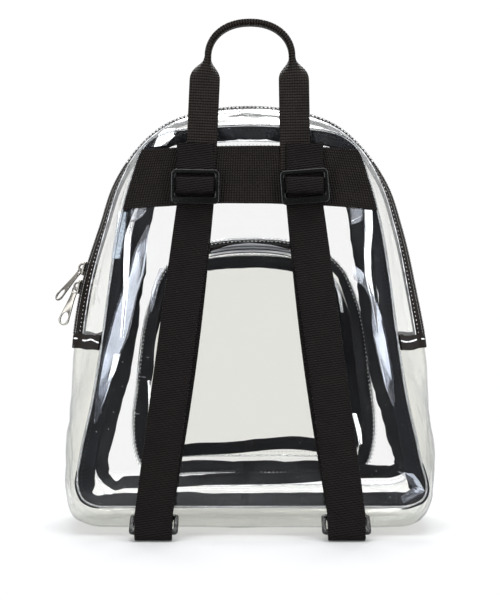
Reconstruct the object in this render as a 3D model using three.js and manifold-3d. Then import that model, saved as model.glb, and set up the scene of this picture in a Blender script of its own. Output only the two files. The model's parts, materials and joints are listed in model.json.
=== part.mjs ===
// Clear backpack with webbing straps, standing on its flat bottom.
// Millimetres, +Z up. The origin is the middle of the flat bottom.
// -Y is the strap side, which lies on the wearer's back. +Y is the pocket side.

import * as THREE from 'three';
import { mergeVertices } from 'three/addons/utils/BufferGeometryUtils.js';
import Module from 'manifold-3d';

const wasm = await Module();
wasm.setup();

// Driving sizes of the bag body
const ridgeHeight = 305;      // floor to the zip's ridge
const bagWidth = 264;         // widest, over the side bulges
const bagDepth = 120;         // seam to seam
const panelFoot = 20;         // floor to the panels' bottom seam
const panelTopDrop = 21;      // ridge to the panels' top seam
const panelWidth = 239;       // widest, at the foot of the panel
const backDome = 3;           // how far the middle of the back panel stands out
const frontDome = 3;          // the same for the front panel
const flatFootDepth = 44;     // the part of the bottom that lies flat on the floor

// Sheet, tape and webbing
const clearSheet = 1.0;
const gap = 0.3;              // between pieces that are sewn or rest together
const bindingWidth = 10;
const bindingThickness = 1.0;
const webbingThickness = 1.4;
const yokeThickness = 1.5;
const handleThickness = 1.6;

// Main zip
const zipTapeWidth = 14;      // one side, from the coil to its sewn edge
const zipTapeThickness = 1.0;
const zipCoilWidth = 5;
const zipCoilHeight = 2.4;
const zipEndWidth = 9;        // bound seam across the gusset
const zipEndThickness = 1.8;

// Zip sliders and pulls, nickel
const sliderLength = 10.5;
const sliderWidth = 8.6;
const sliderThickness = 2.2;
const crownSpan = 7.6;
const crownRise = 4.4;
const crownWire = 1.5;
const upperSliderHeight = 185; // of each slider's middle, above the floor
const sliderSpacing = 14.6;    // down the tape
const pullLength = 27;
const pullWidth = 8.4;
const pullThickness = 1.1;
const pullEye = 1.7;           // radius of the small eye
const pullHeadWall = 1.1;      // metal round the eye
const pullUpperLean = 25;      // degrees away from the tape
const pullLowerLean = 7;

// Front pocket
const pocketDepth = 34;        // front panel to pocket panel, seam to seam
const pocketBaseWidth = 185;
const pocketBaseFoot = 29;     // floor to the pocket's base seam
const pocketBaseTop = 208;
const pocketInset = 5;         // the pocket panel is smaller than its base on each side
const pocketFootRise = 10;     // and its bottom seam is higher
const pocketTopDrop = 11;      // and its top seam is lower
const pocketBulge = 4;         // of the pocket's sides
const pocketShift = 3;         // the pocket is sewn this far to the right
const pocketDome = 3;
const pocketZipTapeWidth = 9;
const pocketCoilWidth = 4;
const pocketCoilHeight = 2.2;
const pocketZipEndWidth = 7;

// Webbing on the back
const yokeTop = 269;
const yokeWidth = 38.6;        // at its middle
const yokeTopSag = 2.5;        // how much lower its ends are
const yokeBottomSag = 4.5;
const strapWidth = 25.4;
const strapAboveYoke = 2;      // the strap's sewn top stands this far over the yoke's edge
const strapTopSpread = 37.5;   // centre line to each strap's middle, at the slider
const strapFootSpread = 65.5;  // the same at the lower ring
const strapBow = 4;            // how far the strap stands out between its ends
const hiddenBow = 3;           // the same for the hidden layer
const strapLayerShift = 3;     // the hidden layer lies this far inboard
const strapTopLift = 0.6;      // between the handle's legs and the strap, beyond the gap
const strapDip = 8;            // above the slider, where the strap starts to go behind it
const tightTurn = 0.8;         // cut off each corner where the webbing goes round a bar

// Moulded ladder slider
const glideWidth = 33.4;
const glideHeight = 23.6;
const glideThickness = 2.4;
const glideBelowYoke = 28;     // the yoke's top edge to the slider's middle
const glideTopBar = 3.0;
const glideCentreBar = 4.4;
const glideBottomBar = 4.8;
const glideSideBar = 3.2;
const glideCorner = 3.4;
const slotCorner = 0.7;

// Moulded lower ring and its tab
const ringWidth = 33.4;
const ringDepth = 20.7;
const ringBar = 3.3;
const ringTilt = 27;           // degrees, the outer bar lower
const ringOuterBarHeight = 6.4; // of the bar's middle
const ringReach = 23;          // back seam to the outer bar's middle
const ringCorner = 2.6;
const foldDrop = 1.9;          // the strap's fold hangs this far below its tightest wrap
const foldRise = 5;            // above the ring's bar, where the fold's layers run straight again
const tabWidth = 25.4;
const tabSewnHeight = 7;       // up the back panel from its bottom seam
const tabTuck = 5.2;           // how far below that seam the tab's lower layer ends

// Grab handle
const handleWidth = 20;
const handleSpread = 31.5;     // centre line to each leg's middle
const handleOnYoke = 17;       // length of each leg sewn to the yoke
const handleStand = 87;        // the yoke's top edge to the top of the handle
const handleNeckDrop = 25;     // the handle's top to the narrow neck of each leg
const handleFoldDrop = 19;     // the neck to where the leg starts to fold
const handleNeckSpread = 29;
const handleGripWidth = 3.8;   // over both folded layers

// Derived values
const halfDepth = bagDepth / 2;
const panelTop = ridgeHeight - panelTopDrop;
const panelHeight = panelTop - panelFoot;
const backFace = -(halfDepth + gap + clearSheet);
const frontFace = halfDepth + gap + clearSheet;
const wireRadius = crownWire / 2;
const strapTopHeight = yokeTop + strapAboveYoke;
const glideMiddleHeight = yokeTop - glideBelowYoke;
const handleLegFoot = yokeTop - handleOnYoke;
const handleTop = yokeTop + handleStand;
const handleNeck = handleTop - handleNeckDrop;
const handleFoldStart = handleNeck - handleFoldDrop;

// Half outlines from the bottom middle to the top middle. panelOut and crownOut are shares of half the
// panel's and the bag's width. panelUp is a share of the panel's height, crownUp of the ridge height.
const bodyOutline = [
  { place: 'bottom middle', panelOut: 0, panelUp: 0, crownOut: 0, crownUp: 0 },
  { place: 'bottom', panelOut: 0.42, panelUp: 0, crownOut: 0.4, crownUp: 0 },
  { place: 'bottom end', panelOut: 0.77, panelUp: 0, crownOut: 0.74, crownUp: 0 },
  { place: 'corner start', panelOut: 0.89, panelUp: 0.002, crownOut: 0.865, crownUp: 0.005 },
  { place: 'corner', panelOut: 0.968, panelUp: 0.02, crownOut: 0.95, crownUp: 0.026 },
  { place: 'corner end', panelOut: 1, panelUp: 0.062, crownOut: 0.988, crownUp: 0.072 },
  { place: 'hip', panelOut: 0.975, panelUp: 0.152, crownOut: 1, crownUp: 0.164 },
  { place: 'side', panelOut: 0.912, panelUp: 0.28, crownOut: 0.988, crownUp: 0.302 },
  { place: 'zip end', panelOut: 0.858, panelUp: 0.428, crownOut: 0.962, crownUp: 0.436 },
  { place: 'above zip end', panelOut: 0.806, panelUp: 0.606, crownOut: 0.888, crownUp: 0.59 },
  { place: 'upper side', panelOut: 0.757, panelUp: 0.739, crownOut: 0.814, crownUp: 0.708 },
  { place: 'shoulder start', panelOut: 0.69, panelUp: 0.852, crownOut: 0.744, crownUp: 0.806 },
  { place: 'shoulder', panelOut: 0.611, panelUp: 0.944, crownOut: 0.618, crownUp: 0.89 },
  { place: 'shoulder end', panelOut: 0.5, panelUp: 0.978, crownOut: 0.47, crownUp: 0.947 },
  { place: 'top', panelOut: 0.26, panelUp: 0.994, crownOut: 0.245, crownUp: 0.985 },
  { place: 'top middle', panelOut: 0, panelUp: 1, crownOut: 0, crownUp: 1 },
];
const zipEndRow = 8;
const stepsPerRow = 2;

// How far the gusset has risen from the panel outline towards the crown, across half its depth
const ridgeProfile = [
  { depthShare: 1, rise: 0 },
  { depthShare: 0.84, rise: 0.17 },
  { depthShare: 0.6, rise: 0.38 },
  { depthShare: 0.25, rise: 0.7 },
  { depthShare: 0.1, rise: 0.93 },
  { depthShare: 0, rise: 1 },
];
const roundProfile = [
  { depthShare: 1, rise: 0 },
  { depthShare: 0.86, rise: 0.48 },
  { depthShare: 0.64, rise: 0.86 },
  { depthShare: flatFootDepth / bagDepth, rise: 1 },
  { depthShare: 0, rise: 1 },
];

// Half outline of the pocket base, from its bottom middle to its top middle, in shares of its half width
// and of its height
const pocketOutline = [
  { place: 'bottom middle', out: 0, up: 0 },
  { place: 'bottom', out: 0.45, up: 0 },
  { place: 'bottom end', out: 0.8, up: 0 },
  { place: 'corner', out: 0.93, up: 0.035 },
  { place: 'corner end', out: 0.985, up: 0.11 },
  { place: 'side', out: 1, up: 0.22 },
  { place: 'zip end', out: 0.96, up: 0.405 },
  { place: 'upper side', out: 0.91, up: 0.62 },
  { place: 'shoulder start', out: 0.845, up: 0.745 },
  { place: 'shoulder', out: 0.72, up: 0.88 },
  { place: 'shoulder end', out: 0.53, up: 0.96 },
  { place: 'top', out: 0.27, up: 0.993 },
  { place: 'top middle', out: 0, up: 1 },
];
const pocketZipEndRow = 6;

// Materials
const clearPvc = new THREE.MeshStandardMaterial({
  color: '#eef0f0', roughness: 0.08, metalness: 0, transparent: true, opacity: 0.35,
});
const blackWebbing = new THREE.MeshStandardMaterial({ color: '#1d1a18', roughness: 0.9, metalness: 0 });
const blackTape = new THREE.MeshStandardMaterial({ color: '#17181b', roughness: 0.7, metalness: 0 });
const zipCoil = new THREE.MeshStandardMaterial({ color: '#141414', roughness: 0.5, metalness: 0 });
const blackPlastic = new THREE.MeshStandardMaterial({ color: '#161615', roughness: 0.4, metalness: 0 });
const nickel = new THREE.MeshStandardMaterial({ color: '#c9c4bd', roughness: 0.25, metalness: 1 });

const backpack = new THREE.Group();

function addPiece(name, geometry, material, parent = backpack) {
  const mesh = new THREE.Mesh(geometry, material);
  mesh.name = name;
  parent.add(mesh);
  return mesh;
}

// Geometry helpers

function signedVolume(points, faces) {
  let volume = 0;
  for (const [a, b, c] of faces) {
    volume += points[a].dot(new THREE.Vector3().crossVectors(points[b], points[c]));
  }
  return volume / 6;
}

function closedGeometry(points, faces) {
  const flip = signedVolume(points, faces) < 0;
  const geometry = new THREE.BufferGeometry();
  geometry.setAttribute('position', new THREE.Float32BufferAttribute(points.flatMap((p) => p.toArray()), 3));
  geometry.setIndex(faces.flatMap(([a, b, c]) => (flip ? [a, c, b] : [a, b, c])));
  geometry.computeVertexNormals();
  return geometry;
}

// A sheet with thickness between two grids of points. outer[i][j] and inner[i][j] face each other.
// With wrap, row i joins the last row to the first.
function thickSheet(outer, inner, wrap = false) {
  const rows = outer.length;
  const columns = outer[0].length;
  const points = [...outer.flat(), ...inner.flat()];
  const top = (i, j) => (i % rows) * columns + j;
  const under = (i, j) => rows * columns + (i % rows) * columns + j;
  const faces = [];
  const quad = (a, b, c, d) => faces.push([a, b, c], [a, c, d]);
  for (let i = 0; i < (wrap ? rows : rows - 1); i++) {
    for (let j = 0; j < columns - 1; j++) {
      quad(top(i, j), top(i + 1, j), top(i + 1, j + 1), top(i, j + 1));
      quad(under(i, j), under(i, j + 1), under(i + 1, j + 1), under(i + 1, j));
    }
    quad(top(i, 0), under(i, 0), under(i + 1, 0), top(i + 1, 0));
    quad(top(i, columns - 1), top(i + 1, columns - 1), under(i + 1, columns - 1), under(i, columns - 1));
  }
  if (!wrap) {
    for (let j = 0; j < columns - 1; j++) {
      quad(top(0, j), top(0, j + 1), under(0, j + 1), under(0, j));
      quad(top(rows - 1, j), under(rows - 1, j), under(rows - 1, j + 1), top(rows - 1, j + 1));
    }
  }
  return closedGeometry(points, faces);
}

// A domed plate inside an outline. surface(point, share) gives the outer point for a share of the way to
// the rim, and thickness is the step from there to the inner point.
function domedPlate(outline, centre, shares, surface, thickness) {
  const ring = (share, offset) => outline.map((p) => {
    const at = centre.clone().lerp(p, share);
    return surface(at, share).add(offset);
  });
  const none = new THREE.Vector3();
  const points = [surface(centre.clone(), 0), surface(centre.clone(), 0).add(thickness)];
  const start = (level, side) => 2 + (level * 2 + side) * outline.length;
  for (const share of shares) {
    points.push(...ring(share, none), ...ring(share, thickness));
  }
  const faces = [];
  const count = outline.length;
  for (let k = 0; k < count; k++) {
    const next = (k + 1) % count;
    faces.push([0, start(0, 0) + k, start(0, 0) + next]);
    faces.push([1, start(0, 1) + next, start(0, 1) + k]);
    for (let level = 0; level < shares.length - 1; level++) {
      const [a, b] = [start(level, 0), start(level + 1, 0)];
      faces.push([a + k, b + k, b + next], [a + k, b + next, a + next]);
      const [c, d] = [start(level, 1), start(level + 1, 1)];
      faces.push([c + k, d + next, d + k], [c + k, c + next, d + next]);
    }
    const [rim, under] = [start(shares.length - 1, 0), start(shares.length - 1, 1)];
    faces.push([rim + k, under + k, under + next], [rim + k, under + next, rim + next]);
  }
  return closedGeometry(points, faces);
}

function solidOf(geometry) {
  const bare = geometry.clone();
  bare.deleteAttribute('normal');
  bare.deleteAttribute('uv');
  const merged = mergeVertices(bare.index ? bare.toNonIndexed() : bare, 1e-4);
  return new wasm.Manifold(new wasm.Mesh({
    numProp: 3,
    vertProperties: new Float32Array(merged.attributes.position.array),
    triVerts: new Uint32Array(merged.index.array),
  }));
}

function geometryOf(solid) {
  const mesh = solid.getMesh();
  const geometry = new THREE.BufferGeometry();
  geometry.setAttribute('position', new THREE.BufferAttribute(mesh.vertProperties, 3));
  geometry.setIndex(new THREE.BufferAttribute(mesh.triVerts, 1));
  geometry.computeVertexNormals();
  return geometry;
}

// Body outlines: panelRing and crownRing hold matching points, from the bottom middle round to the right

function mirroredRows(rows) {
  const left = rows.slice(1, -1).reverse();
  return [
    ...rows.map((row) => ({ row, side: 1 })),
    ...left.map((row) => ({ row, side: -1 })),
  ];
}

function smoothRing(points, steps) {
  const curve = new THREE.CatmullRomCurve3(points, true, 'centripetal');
  const ring = [];
  for (let k = 0; k < points.length * steps; k++) {
    ring.push(curve.getPoint(k / (points.length * steps)));
  }
  return ring;
}

const bodyRows = mirroredRows(bodyOutline);
const panelRing = smoothRing(bodyRows.map(({ row, side }) => new THREE.Vector3(
  side * row.panelOut * panelWidth / 2, 0, panelFoot + row.panelUp * panelHeight)), stepsPerRow);
const crownRing = smoothRing(bodyRows.map(({ row, side }) => new THREE.Vector3(
  side * row.crownOut * bagWidth / 2, 0, row.crownUp * ridgeHeight)), stepsPerRow);
// the curve may dip a hair under straight stretches, so the bottom is laid flat on the floor
for (const p of crownRing) {
  p.z = Math.max(p.z, 0);
}
for (const p of panelRing) {
  p.z = Math.max(p.z, panelFoot);
}
const ringCount = panelRing.length;
const rightZipEnd = zipEndRow * stepsPerRow;
const leftZipEnd = ringCount - rightZipEnd;

function profileRise(profile, share) {
  for (let k = 0; k < profile.length - 1; k++) {
    const [near, far] = [profile[k], profile[k + 1]];
    if (share <= near.depthShare && share >= far.depthShare) {
      const t = (near.depthShare - share) / (near.depthShare - far.depthShare);
      return near.rise + (far.rise - near.rise) * t;
    }
  }
  return share > 1 ? 0 : 1;
}

function ringAt(ring, station) {
  const below = Math.floor(station);
  const from = ring[((below % ring.length) + ring.length) % ring.length];
  const to = ring[(((below + 1) % ring.length) + ring.length) % ring.length];
  return from.clone().lerp(to, station - below);
}

// How much of the ridge profile a station takes: all of it along the zip, none along the bottom
function zipShare(station) {
  const fromBottom = Math.min(Math.abs(station), Math.abs(ringCount - station));
  return THREE.MathUtils.clamp(1 - (rightZipEnd - fromBottom) / (2 * stepsPerRow), 0, 1);
}

function gussetPoint(station, depth) {
  const share = Math.min(Math.abs(depth) / halfDepth, 1);
  const mix = zipShare(station);
  const rise = mix * profileRise(ridgeProfile, share) + (1 - mix) * profileRise(roundProfile, share);
  const point = ringAt(panelRing, station).lerp(ringAt(crownRing, station), rise);
  point.y = depth;
  return point;
}

// Outward normal in the XZ plane, from the outline's own direction
function outwardAt(station) {
  const before = ringAt(crownRing, station - 0.5);
  const after = ringAt(crownRing, station + 0.5);
  const along = after.sub(before).normalize();
  return new THREE.Vector3(along.z, 0, -along.x);
}

function gussetSheet(stations, depths, thickness, lift, wrap = false) {
  const surface = (offset) => stations.map((s) => depths.map((d) => (
    gussetPoint(s, d).addScaledVector(outwardAt(s), offset))));
  return thickSheet(surface(lift), surface(lift - thickness), wrap);
}

function stationsBetween(from, to) {
  const list = [from];
  for (let s = Math.floor(from) + 1; s < to - 0.05; s++) {
    if (s > from + 0.05) {
      list.push(s);
    }
  }
  list.push(to);
  return list;
}

// Station step that covers a length along the crown near a station
function stationsFor(length, station) {
  const span = ringAt(crownRing, station - 0.5).distanceTo(ringAt(crownRing, station + 0.5));
  return length / span;
}

const endHalf = stationsFor(zipEndWidth / 2, rightZipEnd);
const endGap = stationsFor(gap, rightZipEnd);

// Panels

const panelCentre = new THREE.Vector3(0, 0, panelFoot + panelHeight * 0.5);

function rimShare(x, z) {
  const ray = new THREE.Vector2(x - panelCentre.x, z - panelCentre.z);
  const reach = ray.length();
  if (reach < 1e-6) {
    return 0;
  }
  for (let k = 0; k < panelRing.length; k++) {
    const a = panelRing[k];
    const b = panelRing[(k + 1) % panelRing.length];
    const [ax, az] = [a.x - panelCentre.x, a.z - panelCentre.z];
    const [ex, ez] = [b.x - a.x, b.z - a.z];
    const cross = ray.x * ez - ray.y * ex;
    if (Math.abs(cross) < 1e-9) {
      continue;
    }
    const along = (ax * ez - az * ex) / cross;
    const across = (ax * ray.y - az * ray.x) / cross;
    if (along > 0 && across >= -1e-6 && across <= 1 + 1e-6) {
      return 1 / along;
    }
  }
  return 1;
}

function domeHeight(x, z, height) {
  const share = Math.min(rimShare(x, z), 1);
  return height * (1 - share * share) ** 2;
}

const plateShares = [0.4, 0.75, 1];

function bodyPanel(face, dome, outwards) {
  const surface = (at, share) => new THREE.Vector3(
    at.x, face + outwards * dome * (1 - share * share) ** 2, at.z);
  const through = new THREE.Vector3(0, -outwards * clearSheet, 0);
  return domedPlate(panelRing, panelCentre, plateShares, surface, through);
}

addPiece('back_panel', bodyPanel(backFace, backDome, -1), clearPvc);
addPiece('front_panel', bodyPanel(frontFace, frontDome, 1), clearPvc);

// Gussets and the zip

const coilHalf = zipCoilWidth / 2;
const tapeInner = coilHalf + gap;
const tapeOuter = tapeInner + zipTapeWidth;
const stripInner = tapeOuter + gap;

// The profile's own depths between two others, leaving out those within a small margin of the ends
function halfDepths(from, to) {
  const margin = 2;
  const inside = ridgeProfile
    .map((row) => row.depthShare * halfDepth)
    .filter((depth) => depth > from + margin && depth < to - margin);
  return [from, ...inside.sort((a, b) => a - b), to];
}

const roundDepths = roundProfile.slice(0, -1).map((row) => row.depthShare * halfDepth);
const lowerDepths = [...roundDepths.map((d) => -d), 0, ...roundDepths.reverse()];
const lowerStations = stationsBetween(leftZipEnd - ringCount + endHalf + endGap, rightZipEnd - endHalf - endGap);
addPiece('lower_gusset', gussetSheet(lowerStations, lowerDepths, clearSheet, 0), clearPvc);

const zipStations = stationsBetween(rightZipEnd + endHalf + endGap, leftZipEnd - endHalf - endGap);
const stripDepths = halfDepths(stripInner, halfDepth);
const tapeDepths = halfDepths(tapeInner, tapeOuter);
addPiece('zip_gusset_back', gussetSheet(zipStations, stripDepths.map((d) => -d), clearSheet, 0), clearPvc);
addPiece('zip_gusset_front', gussetSheet(zipStations, stripDepths, clearSheet, 0), clearPvc);
addPiece('zip_tape_back', gussetSheet(zipStations, tapeDepths.map((d) => -d), zipTapeThickness, 0), blackTape);
addPiece('zip_tape_front', gussetSheet(zipStations, tapeDepths, zipTapeThickness, 0), blackTape);
addPiece('zip_chain', gussetSheet(
  zipStations, [-coilHalf, 0, coilHalf], zipCoilHeight, zipCoilHeight / 2), zipCoil);

const acrossGusset = [...halfDepths(0, halfDepth).slice(1).reverse().map((d) => -d), ...halfDepths(0, halfDepth)];
for (const [side, station] of [['right', rightZipEnd], ['left', leftZipEnd]]) {
  const bound = [station - endHalf, station, station + endHalf];
  const lift = (zipEndThickness - clearSheet) / 2;
  addPiece(`zip_end_${side}`, gussetSheet(bound, acrossGusset, zipEndThickness, lift), blackTape);
}

// Binding tape, flat inside along both seams

function insetRing(ring, distance) {
  return ring.map((p, k) => {
    const before = ring[(k + ring.length - 1) % ring.length];
    const after = ring[(k + 1) % ring.length];
    const along = after.clone().sub(before).normalize();
    return p.clone().add(new THREE.Vector3(-along.z, 0, along.x).multiplyScalar(distance));
  });
}

const bindingClear = zipEndThickness + gap;

function bindingRing(ring, near, depthOf) {
  const edges = [insetRing(ring, near), insetRing(ring, near + bindingWidth)];
  const grid = (offset) => edges[0].map((p, k) => edges.map((edge) => (
    new THREE.Vector3(edge[k].x, depthOf(edge[k].x, edge[k].z, offset), edge[k].z))));
  return thickSheet(grid(0), grid(bindingThickness), true);
}

const bindingBack = (x, z, offset) => (
  -halfDepth - domeHeight(x, z, backDome) + offset);
const bindingFront = (x, z, offset) => (
  halfDepth + domeHeight(x, z, frontDome) - offset);
addPiece('binding_back', bindingRing(panelRing, bindingClear, bindingBack), blackTape);
addPiece('binding_front', bindingRing(panelRing, bindingClear, bindingFront), blackTape);

// Zip sliders with their crowns and pulls, on the left side

function leftStationAtHeight(height) {
  for (let s = ringCount - 1; s > ringCount / 2; s--) {
    const [low, high] = [crownRing[s].z, crownRing[s - 1].z];
    if (low <= height && high >= height) {
      return s - (height - low) / (high - low);
    }
  }
  throw new Error('no zip at this height');
}

// A frame on the zip: X across the tape, Y up along it, Z out of it
function zipFrame(station, lift) {
  const group = new THREE.Group();
  const out = outwardAt(station);
  const up = ringAt(crownRing, station - 0.5).sub(ringAt(crownRing, station + 0.5)).normalize();
  const across = new THREE.Vector3().crossVectors(up, out);
  group.matrix.makeBasis(across, up, out);
  group.matrix.setPosition(ringAt(crownRing, station).addScaledVector(out, lift));
  group.matrixAutoUpdate = false;
  return group;
}

function sliderGeometry(length, width, thickness, span, rise) {
  const plate = new THREE.Shape();
  const waist = width * 0.36;
  const corner = 1.5;
  plate.moveTo(-width / 2, length / 2 - corner);
  plate.quadraticCurveTo(-width / 2, length / 2, -width / 2 + corner, length / 2);
  plate.lineTo(width / 2 - corner, length / 2);
  plate.quadraticCurveTo(width / 2, length / 2, width / 2, length / 2 - corner);
  plate.lineTo(width / 2, 0);
  plate.lineTo(waist, -length / 2);
  plate.lineTo(-waist, -length / 2);
  plate.lineTo(-width / 2, 0);
  const body = new THREE.ExtrudeGeometry(plate, { depth: thickness, bevelEnabled: false, curveSegments: 3 });
  const arch = new THREE.Shape();
  const [outer, inner] = [span / 2, span / 2 - crownWire];
  const legTop = rise - span * 0.3;
  arch.moveTo(-outer, 0);
  arch.lineTo(-outer, legTop);
  arch.quadraticCurveTo(-outer, rise, 0, rise);
  arch.quadraticCurveTo(outer, rise, outer, legTop);
  arch.lineTo(outer, 0);
  arch.lineTo(inner, 0);
  arch.lineTo(inner, legTop);
  arch.quadraticCurveTo(inner, rise - crownWire, 0, rise - crownWire);
  arch.quadraticCurveTo(-inner, rise - crownWire, -inner, legTop);
  arch.lineTo(-inner, 0);
  const crown = new THREE.ExtrudeGeometry(arch, { depth: crownWire, bevelEnabled: false, curveSegments: 5 });
  crown.translate(0, 0, -wireRadius);
  // the arch is drawn in its own XY plane: X becomes the way along the tape, Y the way out of it
  crown.applyMatrix4(new THREE.Matrix4().makeBasis(
    new THREE.Vector3(0, 1, 0), new THREE.Vector3(0, 0, 1), new THREE.Vector3(1, 0, 0)));
  const sunk = 0.2;
  crown.translate(0, 0, thickness - sunk);
  return geometryOf(solidOf(body).add(solidOf(crown)));
}

// The pull hangs from its eye, down its own -Y, with an oval hole near its round end
function pullGeometry(length, width, thickness, eye) {
  const outline = new THREE.Shape();
  const neck = width * 0.3;
  const round = width / 2;
  const wall = 1.5;
  outline.absarc(0, 0, eye + pullHeadWall, Math.PI * 0.15, Math.PI * 0.85, false);
  outline.lineTo(-neck, -length * 0.3);
  outline.lineTo(-round, round - length);
  outline.absarc(0, round - length, round, Math.PI, Math.PI * 2, false);
  outline.lineTo(neck, -length * 0.3);
  const small = new THREE.Path();
  small.absarc(0, 0, eye, 0, Math.PI * 2, true);
  const oval = new THREE.Path();
  oval.absellipse(0, round + wall - length, round - wall, round * 0.96, 0, Math.PI * 2, true);
  outline.holes.push(small, oval);
  const geometry = new THREE.ExtrudeGeometry(outline, { depth: thickness, bevelEnabled: false, curveSegments: 5 });
  geometry.translate(0, 0, -thickness / 2);
  return geometry;
}

const sliderLift = zipCoilHeight / 2 + gap;
const footOfCrown = -(crownSpan / 2 - wireRadius);
const upperStation = leftStationAtHeight(upperSliderHeight);
const lowerStation = upperStation + stationsFor(sliderSpacing, upperStation);
const zipPulls = [
  { name: 'upper', station: upperStation, lean: pullUpperLean },
  { name: 'lower', station: lowerStation, lean: pullLowerLean },
];

// The eye goes round the crown's lower leg, and its head stays clear of the slider's plate
function seatPull(pull, lean) {
  const angle = THREE.MathUtils.degToRad(lean);
  const headReach = (pullEye + pullHeadWall) * Math.sin(angle);
  pull.position.set(0, footOfCrown, sliderThickness + gap + pullThickness / 2 + headReach);
  pull.rotation.x = -angle;
}

for (const { name, station, lean } of zipPulls) {
  const frame = zipFrame(station, sliderLift);
  backpack.add(frame);
  addPiece(`zip_slider_${name}`, sliderGeometry(
    sliderLength, sliderWidth, sliderThickness, crownSpan, crownRise), nickel, frame);
  const pull = addPiece(`zip_pull_${name}`, pullGeometry(
    pullLength, pullWidth, pullThickness, pullEye), nickel, frame);
  seatPull(pull, lean);
}

// Front pocket

const pocketRows = mirroredRows(pocketOutline);
const pocketHeight = pocketBaseTop - pocketBaseFoot;
const pocketHalf = pocketBaseWidth / 2;
const pocketBase = smoothRing(pocketRows.map(({ row, side }) => new THREE.Vector3(
  pocketShift + side * row.out * pocketHalf, 0, pocketBaseFoot + row.up * pocketHeight)), stepsPerRow);
const pocketRim = smoothRing(pocketRows.map(({ row, side }) => new THREE.Vector3(
  pocketShift + side * row.out * (pocketHalf - pocketInset), 0,
  pocketBaseFoot + pocketFootRise + row.up * (pocketHeight - pocketFootRise - pocketTopDrop))), stepsPerRow);
const pocketCount = pocketBase.length;
const pocketRightEnd = pocketZipEndRow * stepsPerRow;
const pocketLeftEnd = pocketCount - pocketRightEnd;

function frontSkin(x, z) {
  return frontFace + domeHeight(x, z, frontDome);
}

const pocketOut = frontFace + gap + pocketDepth;

// share goes from the base seam on the front panel to the pocket panel's seam
function pocketPoint(station, share, lift) {
  const base = ringAt(pocketBase, station);
  const rim = ringAt(pocketRim, station);
  const before = ringAt(pocketBase, station - 0.5);
  const along = ringAt(pocketBase, station + 0.5).sub(before).normalize();
  const out = new THREE.Vector3(along.z, 0, -along.x);
  const seam = frontSkin(base.x, base.z) + gap;
  const point = base.lerp(rim, share);
  point.y = seam + (pocketOut - seam) * share;
  return point.addScaledVector(out, pocketBulge * Math.sin(Math.PI * share) + lift);
}

function pocketSheet(stations, shares, thickness, lift) {
  const surface = (offset) => stations.map((s) => shares.map((share) => pocketPoint(s, share, offset)));
  return thickSheet(surface(lift), surface(lift - thickness));
}

const perShare = 1 / pocketDepth;
const pocketCoilShare = pocketCoilWidth / 2 * perShare;
const pocketTapeShare = [pocketCoilShare + gap * perShare, pocketCoilShare + (gap + pocketZipTapeWidth) * perShare];
const pocketStripShare = pocketTapeShare[1] + gap * perShare;
const pocketBaseSpan = ringAt(pocketBase, pocketRightEnd - 0.5).distanceTo(ringAt(pocketBase, pocketRightEnd + 0.5));
const pocketEndHalf = pocketZipEndWidth / 2 / pocketBaseSpan;
const pocketEndGap = gap / pocketBaseSpan;
const pocketLowerStations = stationsBetween(
  pocketLeftEnd - pocketCount + pocketEndHalf + pocketEndGap, pocketRightEnd - pocketEndHalf - pocketEndGap);
const pocketZipStations = stationsBetween(
  pocketRightEnd + pocketEndHalf + pocketEndGap, pocketLeftEnd - pocketEndHalf - pocketEndGap);
const wholeShares = [0, 0.25, 0.5, 0.75, 1];
addPiece('pocket_gusset_lower', pocketSheet(pocketLowerStations, wholeShares, clearSheet, 0), clearPvc);
addPiece('pocket_strip_inner', pocketSheet(
  pocketZipStations, [0, 0.5 - pocketStripShare], clearSheet, 0), clearPvc);
addPiece('pocket_strip_outer', pocketSheet(
  pocketZipStations, [0.5 + pocketStripShare, 1], clearSheet, 0), clearPvc);
addPiece('pocket_tape_inner', pocketSheet(
  pocketZipStations, [0.5 - pocketTapeShare[1], 0.5 - pocketTapeShare[0]], zipTapeThickness, 0), blackTape);
addPiece('pocket_tape_outer', pocketSheet(
  pocketZipStations, [0.5 + pocketTapeShare[0], 0.5 + pocketTapeShare[1]], zipTapeThickness, 0), blackTape);
addPiece('pocket_chain', pocketSheet(
  pocketZipStations, [0.5 - pocketCoilShare, 0.5 + pocketCoilShare], pocketCoilHeight, pocketCoilHeight / 2), zipCoil);
for (const [side, station] of [['right', pocketRightEnd], ['left', pocketLeftEnd]]) {
  const bound = [station - pocketEndHalf, station + pocketEndHalf];
  const lift = (zipEndThickness - clearSheet) / 2;
  addPiece(`pocket_zip_end_${side}`, pocketSheet(bound, wholeShares, zipEndThickness, lift), blackTape);
}

const pocketCentre = new THREE.Vector3(pocketShift, 0, (pocketBaseFoot + pocketBaseTop) / 2);
const pocketFace = pocketOut + gap + clearSheet;
const pocketSurface = (at, share) => new THREE.Vector3(
  at.x, pocketFace + pocketDome * (1 - share * share) ** 2, at.z);
addPiece('pocket_panel', domedPlate(
  pocketRim, pocketCentre, plateShares, pocketSurface, new THREE.Vector3(0, -clearSheet, 0)), clearPvc);

addPiece('pocket_binding_outer', bindingRing(
  pocketRim, bindingClear, (x, z, offset) => pocketOut - offset), blackTape);
const baseBindingDepth = (x, z, offset) => frontSkin(x, z) + gap + offset;
addPiece('pocket_binding_base', bindingRing(pocketBase, bindingClear, baseBindingDepth), blackTape);

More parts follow.
